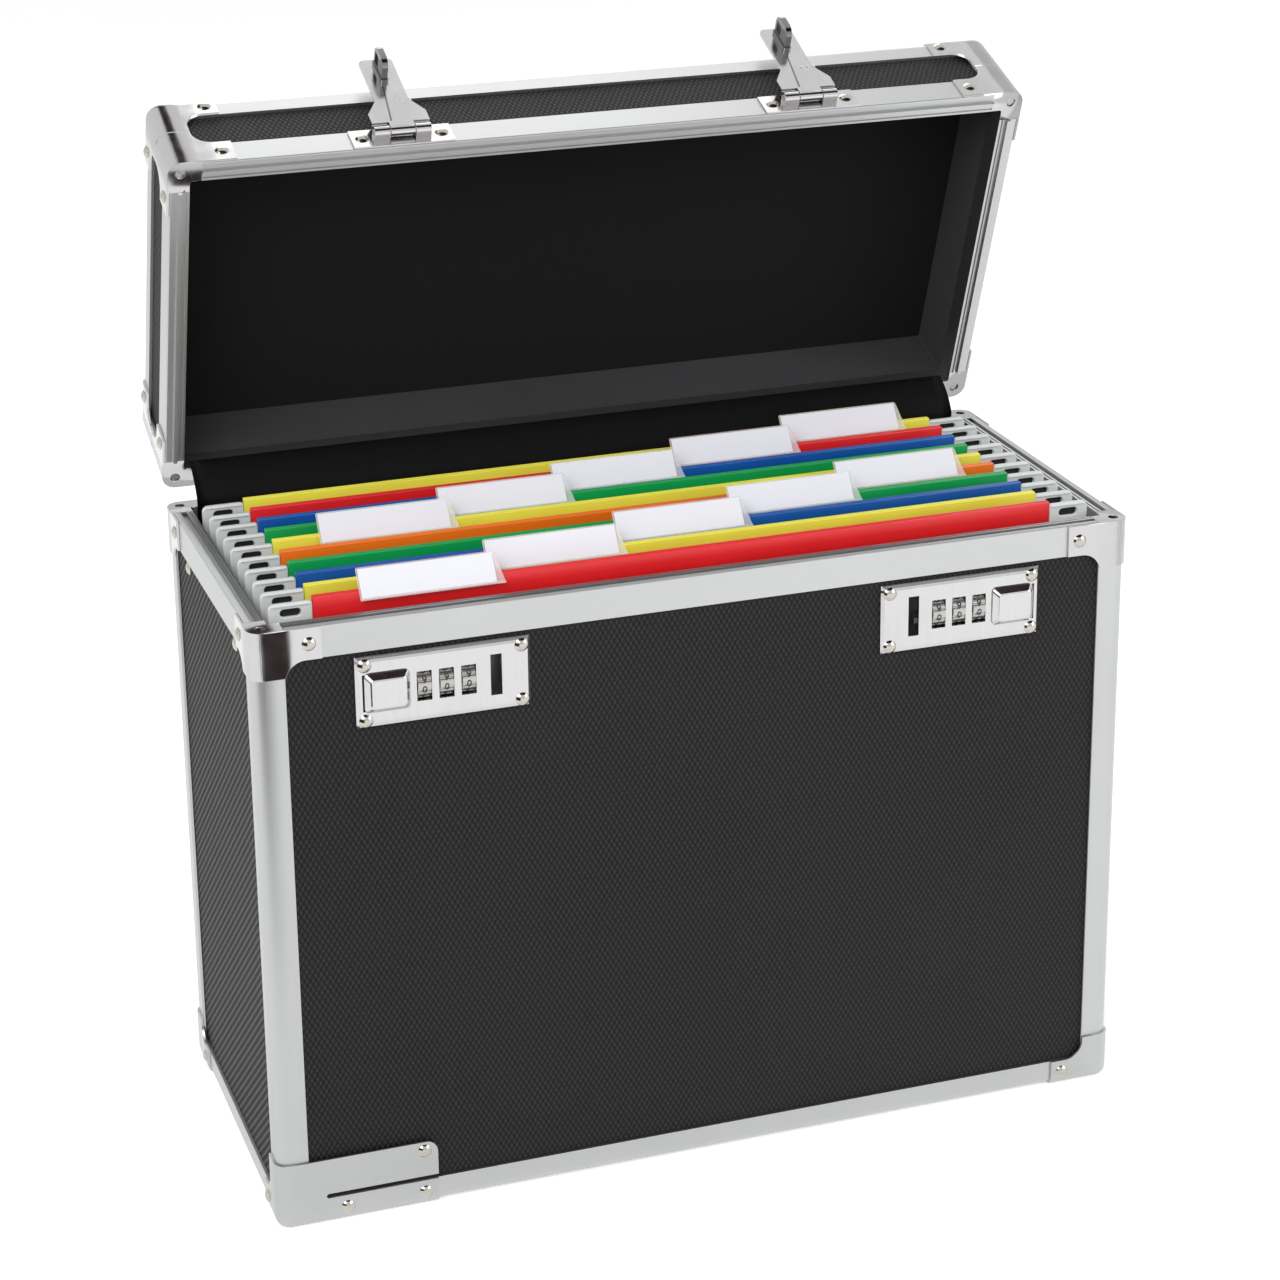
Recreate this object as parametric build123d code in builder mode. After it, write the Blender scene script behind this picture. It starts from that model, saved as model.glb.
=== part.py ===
"""Portable file box: an aluminium-framed case for hanging files, with a hinged lid.

Frame: X runs along the width, Y from the front to the back, Z up. The origin is the middle
of the base panel's underside. The lid stands open, and each of its pieces is drawn where the
closed lid would hold it and carried there by on_lid().
"""

from build123d import *

import os
from math import cos, radians, sin, sqrt, tan

os.makedirs("parts", exist_ok=True)

# ---- The case ---------------------------------------------------------------------------
width = 367.0  # over the side rails
depth = 160.0  # over the front and rear rails
body_height = 256.0  # base panel to rim
lid_height = 45.0  # lid rim to lid top
rim_gap = 0.5  # between the closed rims
lid_open_angle = 70.0  # how far the lid stands open
corner_radius = 5.0  # upright edges of the case
edge_radius = 3.0  # edges round the base and round the lid top
inner_radius = 1.0  # upright edges inside the walls
mitre_gap = 0.15  # saw cut between two rails at a corner

# ---- Walls and frame --------------------------------------------------------------------
rail_thickness = 1.2
panel_thickness = 4.8
lining_thickness = 1.0
rim_rail_leg = 13.0  # height of a rim rail on the wall
edge_rail_leg = 10.5  # height and width of a base or lid top rail
post_width = 12.5
rim_head = 2.8  # thickness of a rim rail's flat top
rim_lip = 1.0  # inner lip of a rim rail
rim_lip_drop = 7.0
rim_edge_radius = 0.6
groove_inset = 3.0
groove_width = 2.4
groove_depth = 1.8
second_groove_width = 0.7
second_groove_depth = 0.6
tongue_width = 1.6
tongue_height = 1.5
fit_gap = 0.2  # between pieces that don't move on each other
running_gap = 0.05  # radial, round a pin
free_gap = 0.3  # between pieces that move past each other

# ---- Corner caps ------------------------------------------------------------------------
cap_thickness = 1.0
cap_arm_x = 27.0  # arm along the front and rear rails
cap_arm_y = 24.0  # arm along the side rails
cap_curve = 8.0  # hollow curve between two arms
cap_flange = 13.0  # over the rim
cap_stud_radius = 2.0  # hole in the flange
cap_stud_inset = 4.4
rim_cap_drop = 19.5
base_cap_rise = 20.0
lid_cap_split = 0.6  # between a lid's rim cap and its top cap
plate_length = 65.6  # the cap with the bare name plate
plate_height = 28.0
plate_curve = 5.0
plate_gap = 2.0  # kept clear of the other base caps
plate_slot_height = 2.0
plate_slot_start = 20.0

# ---- Rivets -----------------------------------------------------------------------------
rivet_radius = 1.2
rivet_head_radius = 2.9
rivet_head_height = 1.3
cap_rivet_x = 22.0  # from the side of the case
cap_rivet_y = 18.5  # from the front or back
plate_rivet_near = 27.5
plate_rivet_far = 60.0
plate_rivet_high = 24.0

# ---- Locks, as distances from the middle of a lock plate --------------------------------
lock_inset = 74.5  # plate middle from the side of the case
lock_drop = 30.0  # plate middle below the rim
lock_length = 70.0
lock_height = 30.0
lock_plate_thickness = 2.0
lock_bevel = 1.2
case_length = 68.0
case_height = 20.4
case_wall = 1.0
lock_rivet_inset = 3.6
slot_along = 21.0
slot_up = 0.5
slot_width = 4.6
slot_height = 17.0
dial_along = 1.0
dial_pitch = 8.9
dial_count = 3
dial_radius = 6.5
dial_width = 5.4
dial_proud = 0.8  # in front of the plate
dial_window = 12.3
dial_notches = 10
dial_notch_radius = 0.5
axle_radius = 0.9
lug_thickness = 1.4
lug_gap = 0.6
button_along = -22.0
button_length = 14.5
button_height = 14.8
button_proud = 3.0
button_bevel = 2.0
button_travel = 3.0
button_lip = 1.5  # flange behind the plate
button_lip_thickness = 1.0
bolt_thickness = 2.2
bolt_height = 2.0
bolt_post = 2.0
bolt_nose_height = 2.3
bolt_nose_up = -2.85
bolt_short = 0.4  # from the nose to the hook

# ---- Hasps, as distances from the hasp pin when closed ----------------------------------
hasp_pin_up = 6.5  # above the lid rim
hasp_pin_proud = 3.4  # in front of the rail
hasp_pin_radius = 1.0
hasp_barrel_radius = 2.2
hasp_base_length = 42.0
hasp_base_thickness = 0.8
hasp_base_edge = 0.3
hasp_knuckle = 10.5
hasp_outer_knuckle = 6.6
hasp_thickness = 1.5
hasp_neck = 2.8
hasp_wide = 24.0
hasp_wide_end = 9.0
hasp_shoulder_end = 17.5
hasp_narrow = 14.0
hasp_length = 46.0
hasp_tip_radius = 2.0
hasp_open_angle = 176.0
hasp_rivet_along = 16.5
hook_thickness = 2.5
hook_length = 13.0
hook_depth = 10.0
hook_curve = 4.0
hook_window = 5.0
hook_window_up = -2.6
hook_window_in = 2.5
hook_foot_width = 3.6
hook_foot_length = 14.5
hook_foot_height = 1.5

# ---- Hinges -----------------------------------------------------------------------------
hinge_inset = 73.5  # hinge middle from the side of the case
hinge_out = 6.0  # axis behind the rear rails
hinge_length = 40.0
hinge_leaf_height = 12.0
hinge_leaf_thickness = 1.2
hinge_barrel_radius = 3.2
hinge_pin_radius = 1.5
hinge_knuckles = 5
hinge_rivet_inset = 7.8  # from the rim
cover_inset = 11.0  # from the side of the case
cover_thickness = 0.8
cover_down = 20.0
cover_up = 4.0
cover_rise = 2.0  # straight part past each rim
cover_ease = 4.0  # how far the bend keeps the straight parts' directions

# ---- Handle -----------------------------------------------------------------------------
handle_span = 118.0  # between the bracket lugs
handle_reach = 42.0
handle_bar = 14.0
handle_arm = 12.0
handle_thickness = 9.0
handle_axis_up = 7.0
handle_shift = -18.0  # axis from the middle of the lid
bracket_lug = 6.0
bracket_length = 20.0
bracket_base = 26.0
bracket_thickness = 1.5
handle_pin_radius = 2.0
handle_pin_root = 2.0  # inside the grip
handle_bar_softness = 0.5  # flat left between the bar's rounded edges

# ---- File rails and files ---------------------------------------------------------------
rail_lip_inset = 17.0  # upturned lip from the side of the case
file_rail_thickness = 1.2
file_rail_plate_top = 10.2  # below the rim
file_rail_lip_top = 12.0
file_rail_flange_drop = 24.0
file_rail_end_gap = 3.5
file_rail_rivet_inset = 35.0
file_rail_rivet_drop = 17.0
file_first = 17.0  # from the front of the case
file_last = 21.5  # from the back
file_colours = ["red", "yellow", "blue", "green", "orange"]
file_colours += ["yellow", "green", "blue", "red", "yellow"]
pocket_inset = 11.0  # from a rail's lip
pocket_thickness = 3.0
pocket_foot_gap = 15.5  # over the lining
pocket_above_rim = 2.5
hook_overhang = 6.5  # past a rail's lip
hanger_thickness = 2.2
hanger_top = 1.0  # above the rim
hanger_bottom = 18.0  # below the rim
hanger_notch = 3.0
hanger_hole_length = 8.0
hanger_hole_height = 3.0
clip_gap = 0.05  # between a file's pocket and what clips onto it
tab_width = 57.0
tab_height = 11.2
tab_drop = 4.0  # foot below the pocket's top
tab_thickness = 1.2
tab_lean = 35.0
tab_near = 50.0  # first tab's middle from the pocket's left end
tab_far = 43.5  # last tab's middle from its right end
tabs_in_row = 5

# ---- Worked out from the sizes above ----------------------------------------------------
half_width = width / 2
half_depth = depth / 2
lining_inset = rail_thickness + panel_thickness
wall = lining_inset + lining_thickness
rim_width = wall + fit_gap + rim_lip
panel_face = half_depth - rail_thickness
hinge_y = half_depth + hinge_out
hinge_z = body_height + rim_gap / 2
lid_rim = body_height + rim_gap
lid_top = lid_rim + lid_height
lid_cap_arm = (lid_height - lid_cap_split) / 2
lock_face = panel_face + lock_plate_thickness  # in front of the middle of the case
lock_z = body_height - lock_drop
axle_in = lock_face + dial_proud - dial_radius
case_back = axle_in - dial_radius - case_wall - fit_gap
pin_y = -half_depth - hasp_pin_proud
pin_z = lid_rim + hasp_pin_up
hasp_back = lock_face + free_gap
hook_down = pin_z - lock_z - slot_up
lock_offset = half_width - lock_inset
hook_x = lock_offset - slot_along
hinge_offset = half_width - hinge_inset
cover_width = width - 2 * cover_inset
rail_pitch = width - 2 * rail_lip_inset
hook_span = rail_pitch + 2 * hook_overhang
pocket_width = rail_pitch - 2 * pocket_inset
pocket_top = body_height + pocket_above_rim
pocket_height = pocket_top - wall - pocket_foot_gap
file_pitch = (depth - file_first - file_last) / (len(file_colours) - 1)
tab_first = tab_near - pocket_width / 2
tab_step = (pocket_width - tab_near - tab_far) / (tabs_in_row - 1)
cap_rivet_depth = cap_thickness + rail_thickness
hinge_rivet_depth = hinge_leaf_thickness + rail_thickness

# ---- Places -----------------------------------------------------------------------------
lid_swing = Location((0, hinge_y, hinge_z)) * Rotation(-lid_open_angle, 0, 0)
lid_place = lid_swing * Location((0, -hinge_y, -hinge_z))
hasp_swing = lid_place * Location((0, pin_y, pin_z)) * Rotation(-hasp_open_angle, 0, 0)
hasp_place = hasp_swing * Location((0, -pin_y, -pin_z))

# Each half of the case is drawn on two planes: its mouth, whose normal points into the half,
# and its closed face, whose normal points back to the mouth. Both keep Y to the back.
def carry(place, plane):
    """A plane of the closed box, carried to where a place puts it."""
    return Plane(place * plane.location)


body_mouth = Plane((0, 0, body_height), x_dir=(-1, 0, 0), z_dir=(0, 0, -1))
body_base = Plane.XY
lid_mouth = carry(lid_place, Plane.XY.offset(lid_rim))
lid_roof = carry(lid_place, Plane((0, 0, lid_top), x_dir=(-1, 0, 0), z_dir=(0, 0, -1)))


def save(piece, name):
    """Label a finished piece and write it."""
    piece.part.label = name
    export_step(piece.part, f"parts/{name}.step")


def on_lid(x, y, z):
    """The place of a point of the closed lid."""
    return lid_place * Location((x, y, z))


def front_view(plane):
    """Through the middle of a half: x along the case, y the plane's own normal."""
    return Plane(plane.origin, x_dir=plane.x_dir, z_dir=-plane.y_dir)


def side_view(plane):
    """Through the middle of a half: x from front to back, y the plane's own normal."""
    return Plane(plane.origin, x_dir=plane.y_dir, z_dir=plane.x_dir)


def plan_block(plane, inset, height, mode=Mode.ADD):
    """A block of the case's plan, set back from its outer faces."""
    radius = max(corner_radius - inset, inner_radius)
    with BuildSketch(plane) as plan:
        RectangleRounded(width - 2 * inset, depth - 2 * inset, radius)
    extrude(plan.sketch, amount=height, mode=mode)


def edge_block(face, inset, top):
    """A block set back from the closed face as well, with that edge rounded."""
    with BuildPart(mode=Mode.PRIVATE) as block:
        plan_block(face.offset(inset), inset, top - inset)
        lowest = block.faces().sort_by(Axis(face.origin, face.z_dir))[0]
        fillet(lowest.edges(), edge_radius - inset)
    return block.part


def keep_corners(plane, along_x, along_y, reach):
    """Cut away all but the four corners of a ring."""
    with Locations(plane.location):
        Box(width - 2 * along_x, 2 * depth, 2 * reach, mode=Mode.SUBTRACT)
        Box(2 * width, depth - 2 * along_y, 2 * reach, mode=Mode.SUBTRACT)


def cut_mitres(plane, reach):
    """Part a ring into four rails at its corners."""
    kerf_length = 4 * rim_rail_leg
    for side in (-1, 1):
        for end in (-1, 1):
            corner = Location((side * half_width, end * half_depth, 0), (0, 0, 45 * side * end))
            with Locations(plane.location * corner):
                Box(kerf_length, mitre_gap, 2 * reach, mode=Mode.SUBTRACT)


def drill(spots, radius, length):
    """Holes for shanks, each along the normal of its spot."""
    with Locations(*spots):
        Cylinder(radius, 2 * length, mode=Mode.SUBTRACT)


def rivet(length, head=rivet_head_radius, shank=rivet_radius):
    """A domed rivet whose head rests on Z = 0."""
    dome_radius = (head**2 + rivet_head_height**2) / (2 * rivet_head_height)
    dome_sink = dome_radius - rivet_head_height
    halfway = (head / 2, sqrt(dome_radius**2 - (head / 2) ** 2) - dome_sink)
    with BuildPart(mode=Mode.PRIVATE) as one:
        with BuildSketch(Plane.XZ) as section:
            with BuildLine():
                Polyline((0, rivet_head_height), (0, -length), (shank, -length), (shank, 0), (head, 0))
                ThreePointArc((head, 0), halfway, (0, rivet_head_height))
            make_face()
        revolve(section.sketch, axis=Axis.Z)
    return one.part


def outward(plane, x, y, z, direction):
    """A spot on a wall, given in a plane's own coordinates, facing out of the wall."""
    return Plane(plane.from_local_coords((x, y, z)), z_dir=direction).location


def cap_spots(plane, height, skip_plate=False):
    """Rivet places on the arms of four corner caps."""
    spots = []
    for side in (-1, 1):
        for end in (-1, 1):
            along = side * (half_width - cap_rivet_x)
            face = end * (half_depth + cap_thickness)
            if not (skip_plate and side < 0 and end < 0):
                spots.append(outward(plane, along, face, height, plane.y_dir * end))
            across = end * (half_depth - cap_rivet_y)
            face = side * (half_width + cap_thickness)
            spots.append(outward(plane, face, across, height, plane.x_dir * side))
    return spots


# ---- Rivet places -----------------------------------------------------------------------
body_rim_spots = cap_spots(body_mouth, rim_rail_leg / 2)
body_base_spots = cap_spots(body_base, edge_rail_leg / 2, skip_plate=True)
lid_rim_spots = cap_spots(lid_mouth, rim_rail_leg / 2)
lid_roof_spots = cap_spots(lid_roof, edge_rail_leg / 2)

plate_spots = []
for along, up in [
    (plate_rivet_near, edge_rail_leg / 2),
    (plate_rivet_far, edge_rail_leg / 2),
]:
    place = Plane((along - half_width, -half_depth - cap_thickness, up), z_dir=(0, -1, 0))
    plate_spots.append(place.location)
plate_high = (plate_rivet_far - half_width, -half_depth - cap_thickness, plate_rivet_high)
plate_high_spot = Plane(plate_high, z_dir=(0, -1, 0)).location

lock_spots = []
for side in (-1, 1):
    for along in (-1, 1):
        for up in (-1, 1):
            x = side * lock_offset + along * (lock_length / 2 - lock_rivet_inset)
            z = lock_z + up * (lock_height / 2 - lock_rivet_inset)
            lock_spots.append(Plane((x, -lock_face, z), z_dir=(0, -1, 0)).location)

file_rail_spots = []
for side in (-1, 1):
    for end in (-1, 1):
        x = side * (half_width - rail_thickness)
        y = end * (half_depth - file_rail_rivet_inset)
        place = Plane((x, y, body_height - file_rail_rivet_drop), z_dir=(side, 0, 0))
        file_rail_spots.append(place.location)

hinge_xs = [-hinge_offset, hinge_offset]
hinge_leaf_face = half_depth + hinge_leaf_thickness


def hinge_spots(mouth):
    """Rivet places on the two hinge leaves of a half."""
    spots = []
    for x in hinge_xs:
        for end in (-1, 1):
            along = x + end * hinge_length / 4
            spots.append(outward(mouth, along, hinge_leaf_face, hinge_rivet_inset, mouth.y_dir))
    return spots


hasp_spots = []
for side in (-1, 1):
    for end in (-1, 1):
        x = side * hook_x + end * hasp_rivet_along
        face = -half_depth - hasp_base_thickness
        spot = Plane((x, face, pin_z), z_dir=(0, -1, 0))
        hasp_spots.append(lid_place * spot.location)

handle_y = handle_shift
bracket_spots = []
for side in (-1, 1):
    for end in (-1, 1):
        x = side * (handle_span / 2 + bracket_lug + bracket_length / 4)
        y = handle_y + end * bracket_base / 3
        bracket_spots.append(on_lid(x, y, lid_top + bracket_thickness))


# ---- Rails ------------------------------------------------------------------------------
def rim_rails(mouth, spots, tongue):
    """Four extrusions round a mouth: wall leg, flat head with two grooves, and inner lip."""
    with BuildPart() as rails:
        plan_block(mouth, 0, rim_rail_leg)
        nearest = rails.faces().sort_by(Axis(mouth.origin, mouth.z_dir))[0]
        fillet(nearest.edges(), rim_edge_radius)
        hollow = mouth.offset(rim_head)
        plan_block(hollow, rail_thickness, rim_rail_leg, Mode.SUBTRACT)
        lip = rim_width - rim_lip
        plan_block(hollow, lip, rim_lip_drop)
        plan_block(mouth, rim_width, rim_head + rim_lip_drop, Mode.SUBTRACT)
        if tongue:
            tongue_inset = groove_inset + (groove_width - tongue_width) / 2
            with BuildSketch(mouth.offset(-tongue_height)) as ring:
                ring_rectangles(tongue_inset, tongue_width)
            extrude(ring.sketch, amount=tongue_height)
        else:
            with BuildSketch(mouth) as ring:
                ring_rectangles(groove_inset, groove_width)
            extrude(ring.sketch, amount=groove_depth, mode=Mode.SUBTRACT)
        with BuildSketch(mouth) as second:
            ring_rectangles(rim_width - rim_lip - second_groove_width, second_groove_width)
        extrude(second.sketch, amount=second_groove_depth, mode=Mode.SUBTRACT)
        for pocket in flange_pockets(mouth):
            with Locations(pocket):
                pocket_box(2 * cap_thickness, Mode.SUBTRACT)
        if tongue:
            for pocket in flange_pockets(mouth):
                with Locations(pocket * Location((0, 0, -tongue_height))):
                    pocket_box(2 * tongue_height, Mode.SUBTRACT)
        cut_mitres(mouth, 2 * rim_rail_leg)
        drill(spots, rivet_radius, hinge_rivet_depth)
    return rails


def ring_rectangles(inset, across):
    """A ring of the case's plan with square corners, in the current sketch."""
    Rectangle(width - 2 * inset, depth - 2 * inset)
    inner = inset + across
    Rectangle(width - 2 * inner, depth - 2 * inner, mode=Mode.SUBTRACT)


def flange_pockets(mouth):
    """The places at a mouth's corners where the caps lie flush in the rim."""
    corners = []
    for side in (-1, 1):
        for end in (-1, 1):
            corners.append(mouth.location * Location((side * half_width, end * half_depth, 0)))
    return corners


def pocket_box(height, mode):
    """A square as long as a cap's flange, centred on a corner of the case."""
    Box(2 * cap_flange, 2 * cap_flange, height, mode=mode)


def edge_rails(face, spots):
    """Four angles round the base or round the lid's top."""
    with BuildPart() as rails:
        add(edge_block(face, 0, edge_rail_leg))
        add(edge_block(face, rail_thickness, edge_rail_leg), mode=Mode.SUBTRACT)
        plan_block(face, edge_rail_leg, rail_thickness, Mode.SUBTRACT)
        cut_mitres(face, 2 * edge_rail_leg)
        drill(spots, rivet_radius, cap_rivet_depth)
    return rails


def corner_posts(face, height):
    """Four angles at the upright edges, between the rails."""
    length = height - rim_rail_leg - edge_rail_leg
    foot = face.offset(edge_rail_leg)
    with BuildPart() as posts:
        plan_block(foot, 0, length)
        plan_block(foot, rail_thickness, length, Mode.SUBTRACT)
        keep_corners(foot, post_width, post_width, length)
    return posts


# ---- Panels and lining ------------------------------------------------------------------
def closing_panel(face):
    """The base or the lid's top: a slab behind the rails, with a field flush between them."""
    with BuildPart() as panel:
        add(edge_block(face, rail_thickness, lining_inset))
        inset = edge_rail_leg + fit_gap
        with BuildSketch(face) as field:
            RectangleRounded(width - 2 * inset, depth - 2 * inset, cap_curve)
        extrude(field.sketch, amount=rail_thickness)
    return panel


def wall_height(height):
    """Clear height of a wall between its closing panel and its rim rail's head."""
    return height - lining_inset - rim_head


def long_panel(face, height, end, openings=()):
    """The front (end -1) or rear (end 1) wall, with any openings through it."""
    tall = wall_height(height)
    length = width - 2 * corner_radius
    middle = end * (half_depth - rail_thickness - panel_thickness / 2)
    centre = face.location * Location((0, middle, lining_inset + tall / 2))
    with BuildPart() as panel:
        with Locations(centre):
            Box(length, panel_thickness, tall)
        for opening, size in openings:
            with Locations(opening):
                Box(*size, mode=Mode.SUBTRACT)
    return panel


def end_panels(face, height):
    """The two side walls, between the front and the rear wall."""
    tall = wall_height(height)
    length = depth - 2 * lining_inset
    middle = half_width - rail_thickness - panel_thickness / 2
    with BuildPart() as panels:
        for side in (-1, 1):
            place = face.location * Location((side * middle, 0, lining_inset + tall / 2))
            with Locations(place):
                Box(panel_thickness, length, tall)
    return panels


def lining(face, height, openings=()):
    """A thin tray that covers the walls and the closing panel inside."""
    tall = wall_height(height)
    floor = face.offset(lining_inset)
    with BuildPart() as tray:
        plan_block(floor, lining_inset, tall)
        plan_block(floor.offset(lining_thickness), wall, tall, Mode.SUBTRACT)
        for opening, size in openings:
            with Locations(opening):
                Box(*size, mode=Mode.SUBTRACT)
    return tray


# ---- Corner caps ------------------------------------------------------------------------
def cut_cap_windows(plane, leg, reach):
    """Cut the L-shaped arms of four caps out of their skins."""
    views = [(front_view(plane), width, cap_arm_x), (side_view(plane), depth, cap_arm_y)]
    for view, span, arm in views:
        with BuildSketch(view) as window:
            Rectangle(span - 2 * arm, 4 * reach)
            with Locations((0, leg + reach)):
                RectangleRounded(span - 2 * post_width, 2 * reach, cap_curve)
        extrude(window.sketch, amount=width, both=True, mode=Mode.SUBTRACT)


def rim_caps(mouth, reach, spots):
    """Caps over the corners of a rim, each with a flange that lies flush in the rails."""
    with BuildPart() as caps:
        plan_block(mouth, -cap_thickness, reach)
        plan_block(mouth, 0, reach, Mode.SUBTRACT)
        cut_cap_windows(mouth, rim_rail_leg, reach)
        with BuildPart(mode=Mode.PRIVATE) as flanges:
            plan_block(mouth, -cap_thickness, cap_thickness)
            plan_block(mouth, rim_width, cap_thickness, Mode.SUBTRACT)
            keep_corners(mouth, cap_flange, cap_flange, cap_thickness)
            studs = half_width - cap_stud_inset, half_depth - cap_stud_inset
            for side in (-1, 1):
                for end in (-1, 1):
                    with Locations(mouth.location * Location((side * studs[0], end * studs[1], 0))):
                        Cylinder(cap_stud_radius, 4 * cap_thickness, mode=Mode.SUBTRACT)
        add(flanges.part)
        drill(spots, rivet_radius, cap_rivet_depth)
    return caps


def edge_caps(face, reach, spots):
    """Caps over the corners of the base or of the lid's top."""
    with BuildPart() as caps:
        add(edge_block(face, -cap_thickness, reach))
        add(edge_block(face, 0, reach), mode=Mode.SUBTRACT)
        cut_cap_windows(face, edge_rail_leg, reach)
        with BuildSketch(face.offset(-2 * cap_thickness)) as field:
            RectangleRounded(width - 2 * edge_rail_leg, depth - 2 * edge_rail_leg, cap_curve)
        extrude(field.sketch, amount=4 * cap_thickness, mode=Mode.SUBTRACT)
        drill(spots, rivet_radius, cap_rivet_depth)
    return caps


# ---- The body's shell -------------------------------------------------------------------
case_y = -(panel_face + case_back) / 2
case_depth = panel_face - case_back
case_openings = []
for side in (-1, 1):
    opening = Location((side * lock_offset, case_y, lock_z))
    size = (case_length + 2 * fit_gap, 2 * case_depth, case_height + 2 * fit_gap)
    case_openings.append((opening, size))

front_panel = long_panel(body_base, body_height, -1, case_openings)
with front_panel:
    drill(lock_spots, rivet_radius, lock_plate_thickness + panel_thickness)
save(front_panel, "front_panel")

rear_panel = long_panel(body_base, body_height, 1)
save(rear_panel, "rear_panel")

file_rail_rivet_length = panel_thickness + lining_thickness + file_rail_thickness
side_panels = end_panels(body_base, body_height)
with side_panels:
    drill(file_rail_spots, rivet_radius, file_rail_rivet_length)
save(side_panels, "side_panels")

base_panel = closing_panel(body_base)
save(base_panel, "base_panel")

body_lining = lining(body_base, body_height, case_openings)
with body_lining:
    drill(file_rail_spots, rivet_radius, file_rail_rivet_length)
save(body_lining, "body_lining")

body_posts = corner_posts(body_base, body_height)
save(body_posts, "corner_posts")

body_hinge_spots = hinge_spots(body_mouth)
base_rails = edge_rails(body_base, body_base_spots + plate_spots)
save(base_rails, "base_rails")

body_rim_rails = rim_rails(body_mouth, body_rim_spots + body_hinge_spots, tongue=False)
save(body_rim_rails, "rim_rails")

rim_corner_caps = rim_caps(body_mouth, rim_cap_drop, body_rim_spots)
save(rim_corner_caps, "rim_corner_caps")

base_corner_caps = edge_caps(body_base, base_cap_rise, body_base_spots)
with base_corner_caps:
    with Locations((-half_width, -half_depth, 0)):
        Box(2 * cap_arm_x + plate_gap, 2 * cap_arm_y + plate_gap, 4 * base_cap_rise, mode=Mode.SUBTRACT)
save(base_corner_caps, "base_corner_caps")

# The front left cap is longer and taller: it carries a bare name plate above a slot.
with BuildPart() as plate_corner_cap:
    add(edge_block(body_base, -cap_thickness, plate_height))
    add(edge_block(body_base, 0, plate_height), mode=Mode.SUBTRACT)
    with BuildSketch(side_view(body_base)) as side_window:
        with Locations((cap_arm_y / 2, 0)):
            Rectangle(depth - cap_arm_y, 4 * plate_height)
        with Locations((post_width / 2, edge_rail_leg + plate_height)):
            RectangleRounded(depth - post_width, 2 * plate_height, cap_curve)
        with Locations((post_width, edge_rail_leg + plate_height)):
            Rectangle(depth - 2 * post_width, 2 * plate_height - 2 * cap_curve)
    extrude(side_window.sketch, amount=half_width + 2 * cap_thickness, mode=Mode.SUBTRACT, dir=(-1, 0, 0))
    with Locations((plate_length, 0, 0)):
        Box(width, 2 * depth, 4 * plate_height, mode=Mode.SUBTRACT)
    with Locations((0, half_depth, 0)):
        Box(2 * width, 2 * (depth - cap_arm_y), 4 * plate_height, mode=Mode.SUBTRACT)
    with BuildSketch(body_base.offset(-2 * cap_thickness)) as plate_field:
        RectangleRounded(width - 2 * edge_rail_leg, depth - 2 * edge_rail_leg, cap_curve)
    extrude(plate_field.sketch, amount=4 * cap_thickness, mode=Mode.SUBTRACT)
    with BuildSketch(Plane.XZ.offset(half_depth - rail_thickness)) as plate_slot:
        slot_end = plate_length - half_width
        slot_start = plate_slot_start - half_width
        with Locations(((slot_start + slot_end) / 2, edge_rail_leg + plate_slot_height / 2)):
            Rectangle(slot_end - slot_start, plate_slot_height)
        with Locations((slot_start, edge_rail_leg + plate_slot_height / 2)):
            Circle(plate_slot_height / 2)
    extrude(plate_slot.sketch, amount=4 * cap_thickness, mode=Mode.SUBTRACT)
    high_corner = (
        plate_corner_cap.edges()
        .filter_by(Axis.Y)
        .group_by(Axis.Z)[-1]
        .sort_by(Axis.X)[-1]
    )
    fillet(high_corner, plate_curve)
    drill(plate_spots + [plate_high_spot], rivet_radius, cap_rivet_depth)
    drill(body_base_spots, rivet_radius, cap_rivet_depth)
save(plate_corner_cap, "plate_corner_cap")

# ---- File rails -------------------------------------------------------------------------
file_rail_face = half_width - wall
file_rail_length = depth - 2 * (wall + file_rail_end_gap)
with BuildPart() as file_rails:
    for side in (-1, 1):
        lip_x = side * rail_pitch / 2
        plate_x = side * (file_rail_face - file_rail_thickness / 2)
        flange_z = body_height - file_rail_flange_drop + file_rail_thickness / 2
        with BuildSketch(Plane.XZ) as section:
            tall = file_rail_flange_drop - file_rail_plate_top
            with Locations((plate_x, body_height - file_rail_plate_top - tall / 2)):
                Rectangle(file_rail_thickness, tall)
            reach = abs(plate_x - lip_x) + file_rail_thickness
            with Locations(((plate_x + lip_x) / 2, flange_z)):
                Rectangle(reach, file_rail_thickness)
            tall = file_rail_flange_drop - file_rail_lip_top
            with Locations((lip_x, body_height - file_rail_lip_top - tall / 2)):
                Rectangle(file_rail_thickness, tall)
        extrude(section.sketch, amount=file_rail_length / 2, both=True)
    drill(file_rail_spots, rivet_radius, 2 * file_rail_rivet_length)
save(file_rails, "file_rails")

# ---- Locks ------------------------------------------------------------------------------
lock_sides = [("left", -1), ("right", 1)]


def lock_x(side, along):
    """Distances along a lock run from its button to its slot, which is nearer the middle."""
    return side * (lock_offset - along)


def dial_alongs():
    """The middles of a lock's dials."""
    first = dial_along - dial_pitch * (dial_count - 1) / 2
    return [first + dial_pitch * index for index in range(dial_count)]


button_window = button_length + button_travel + 2 * fit_gap
button_window_along = button_along - button_travel / 2
dials_reach = dial_pitch * (dial_count - 1) / 2 + dial_width / 2
lug_along = dials_reach + lug_gap + lug_thickness / 2

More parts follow.
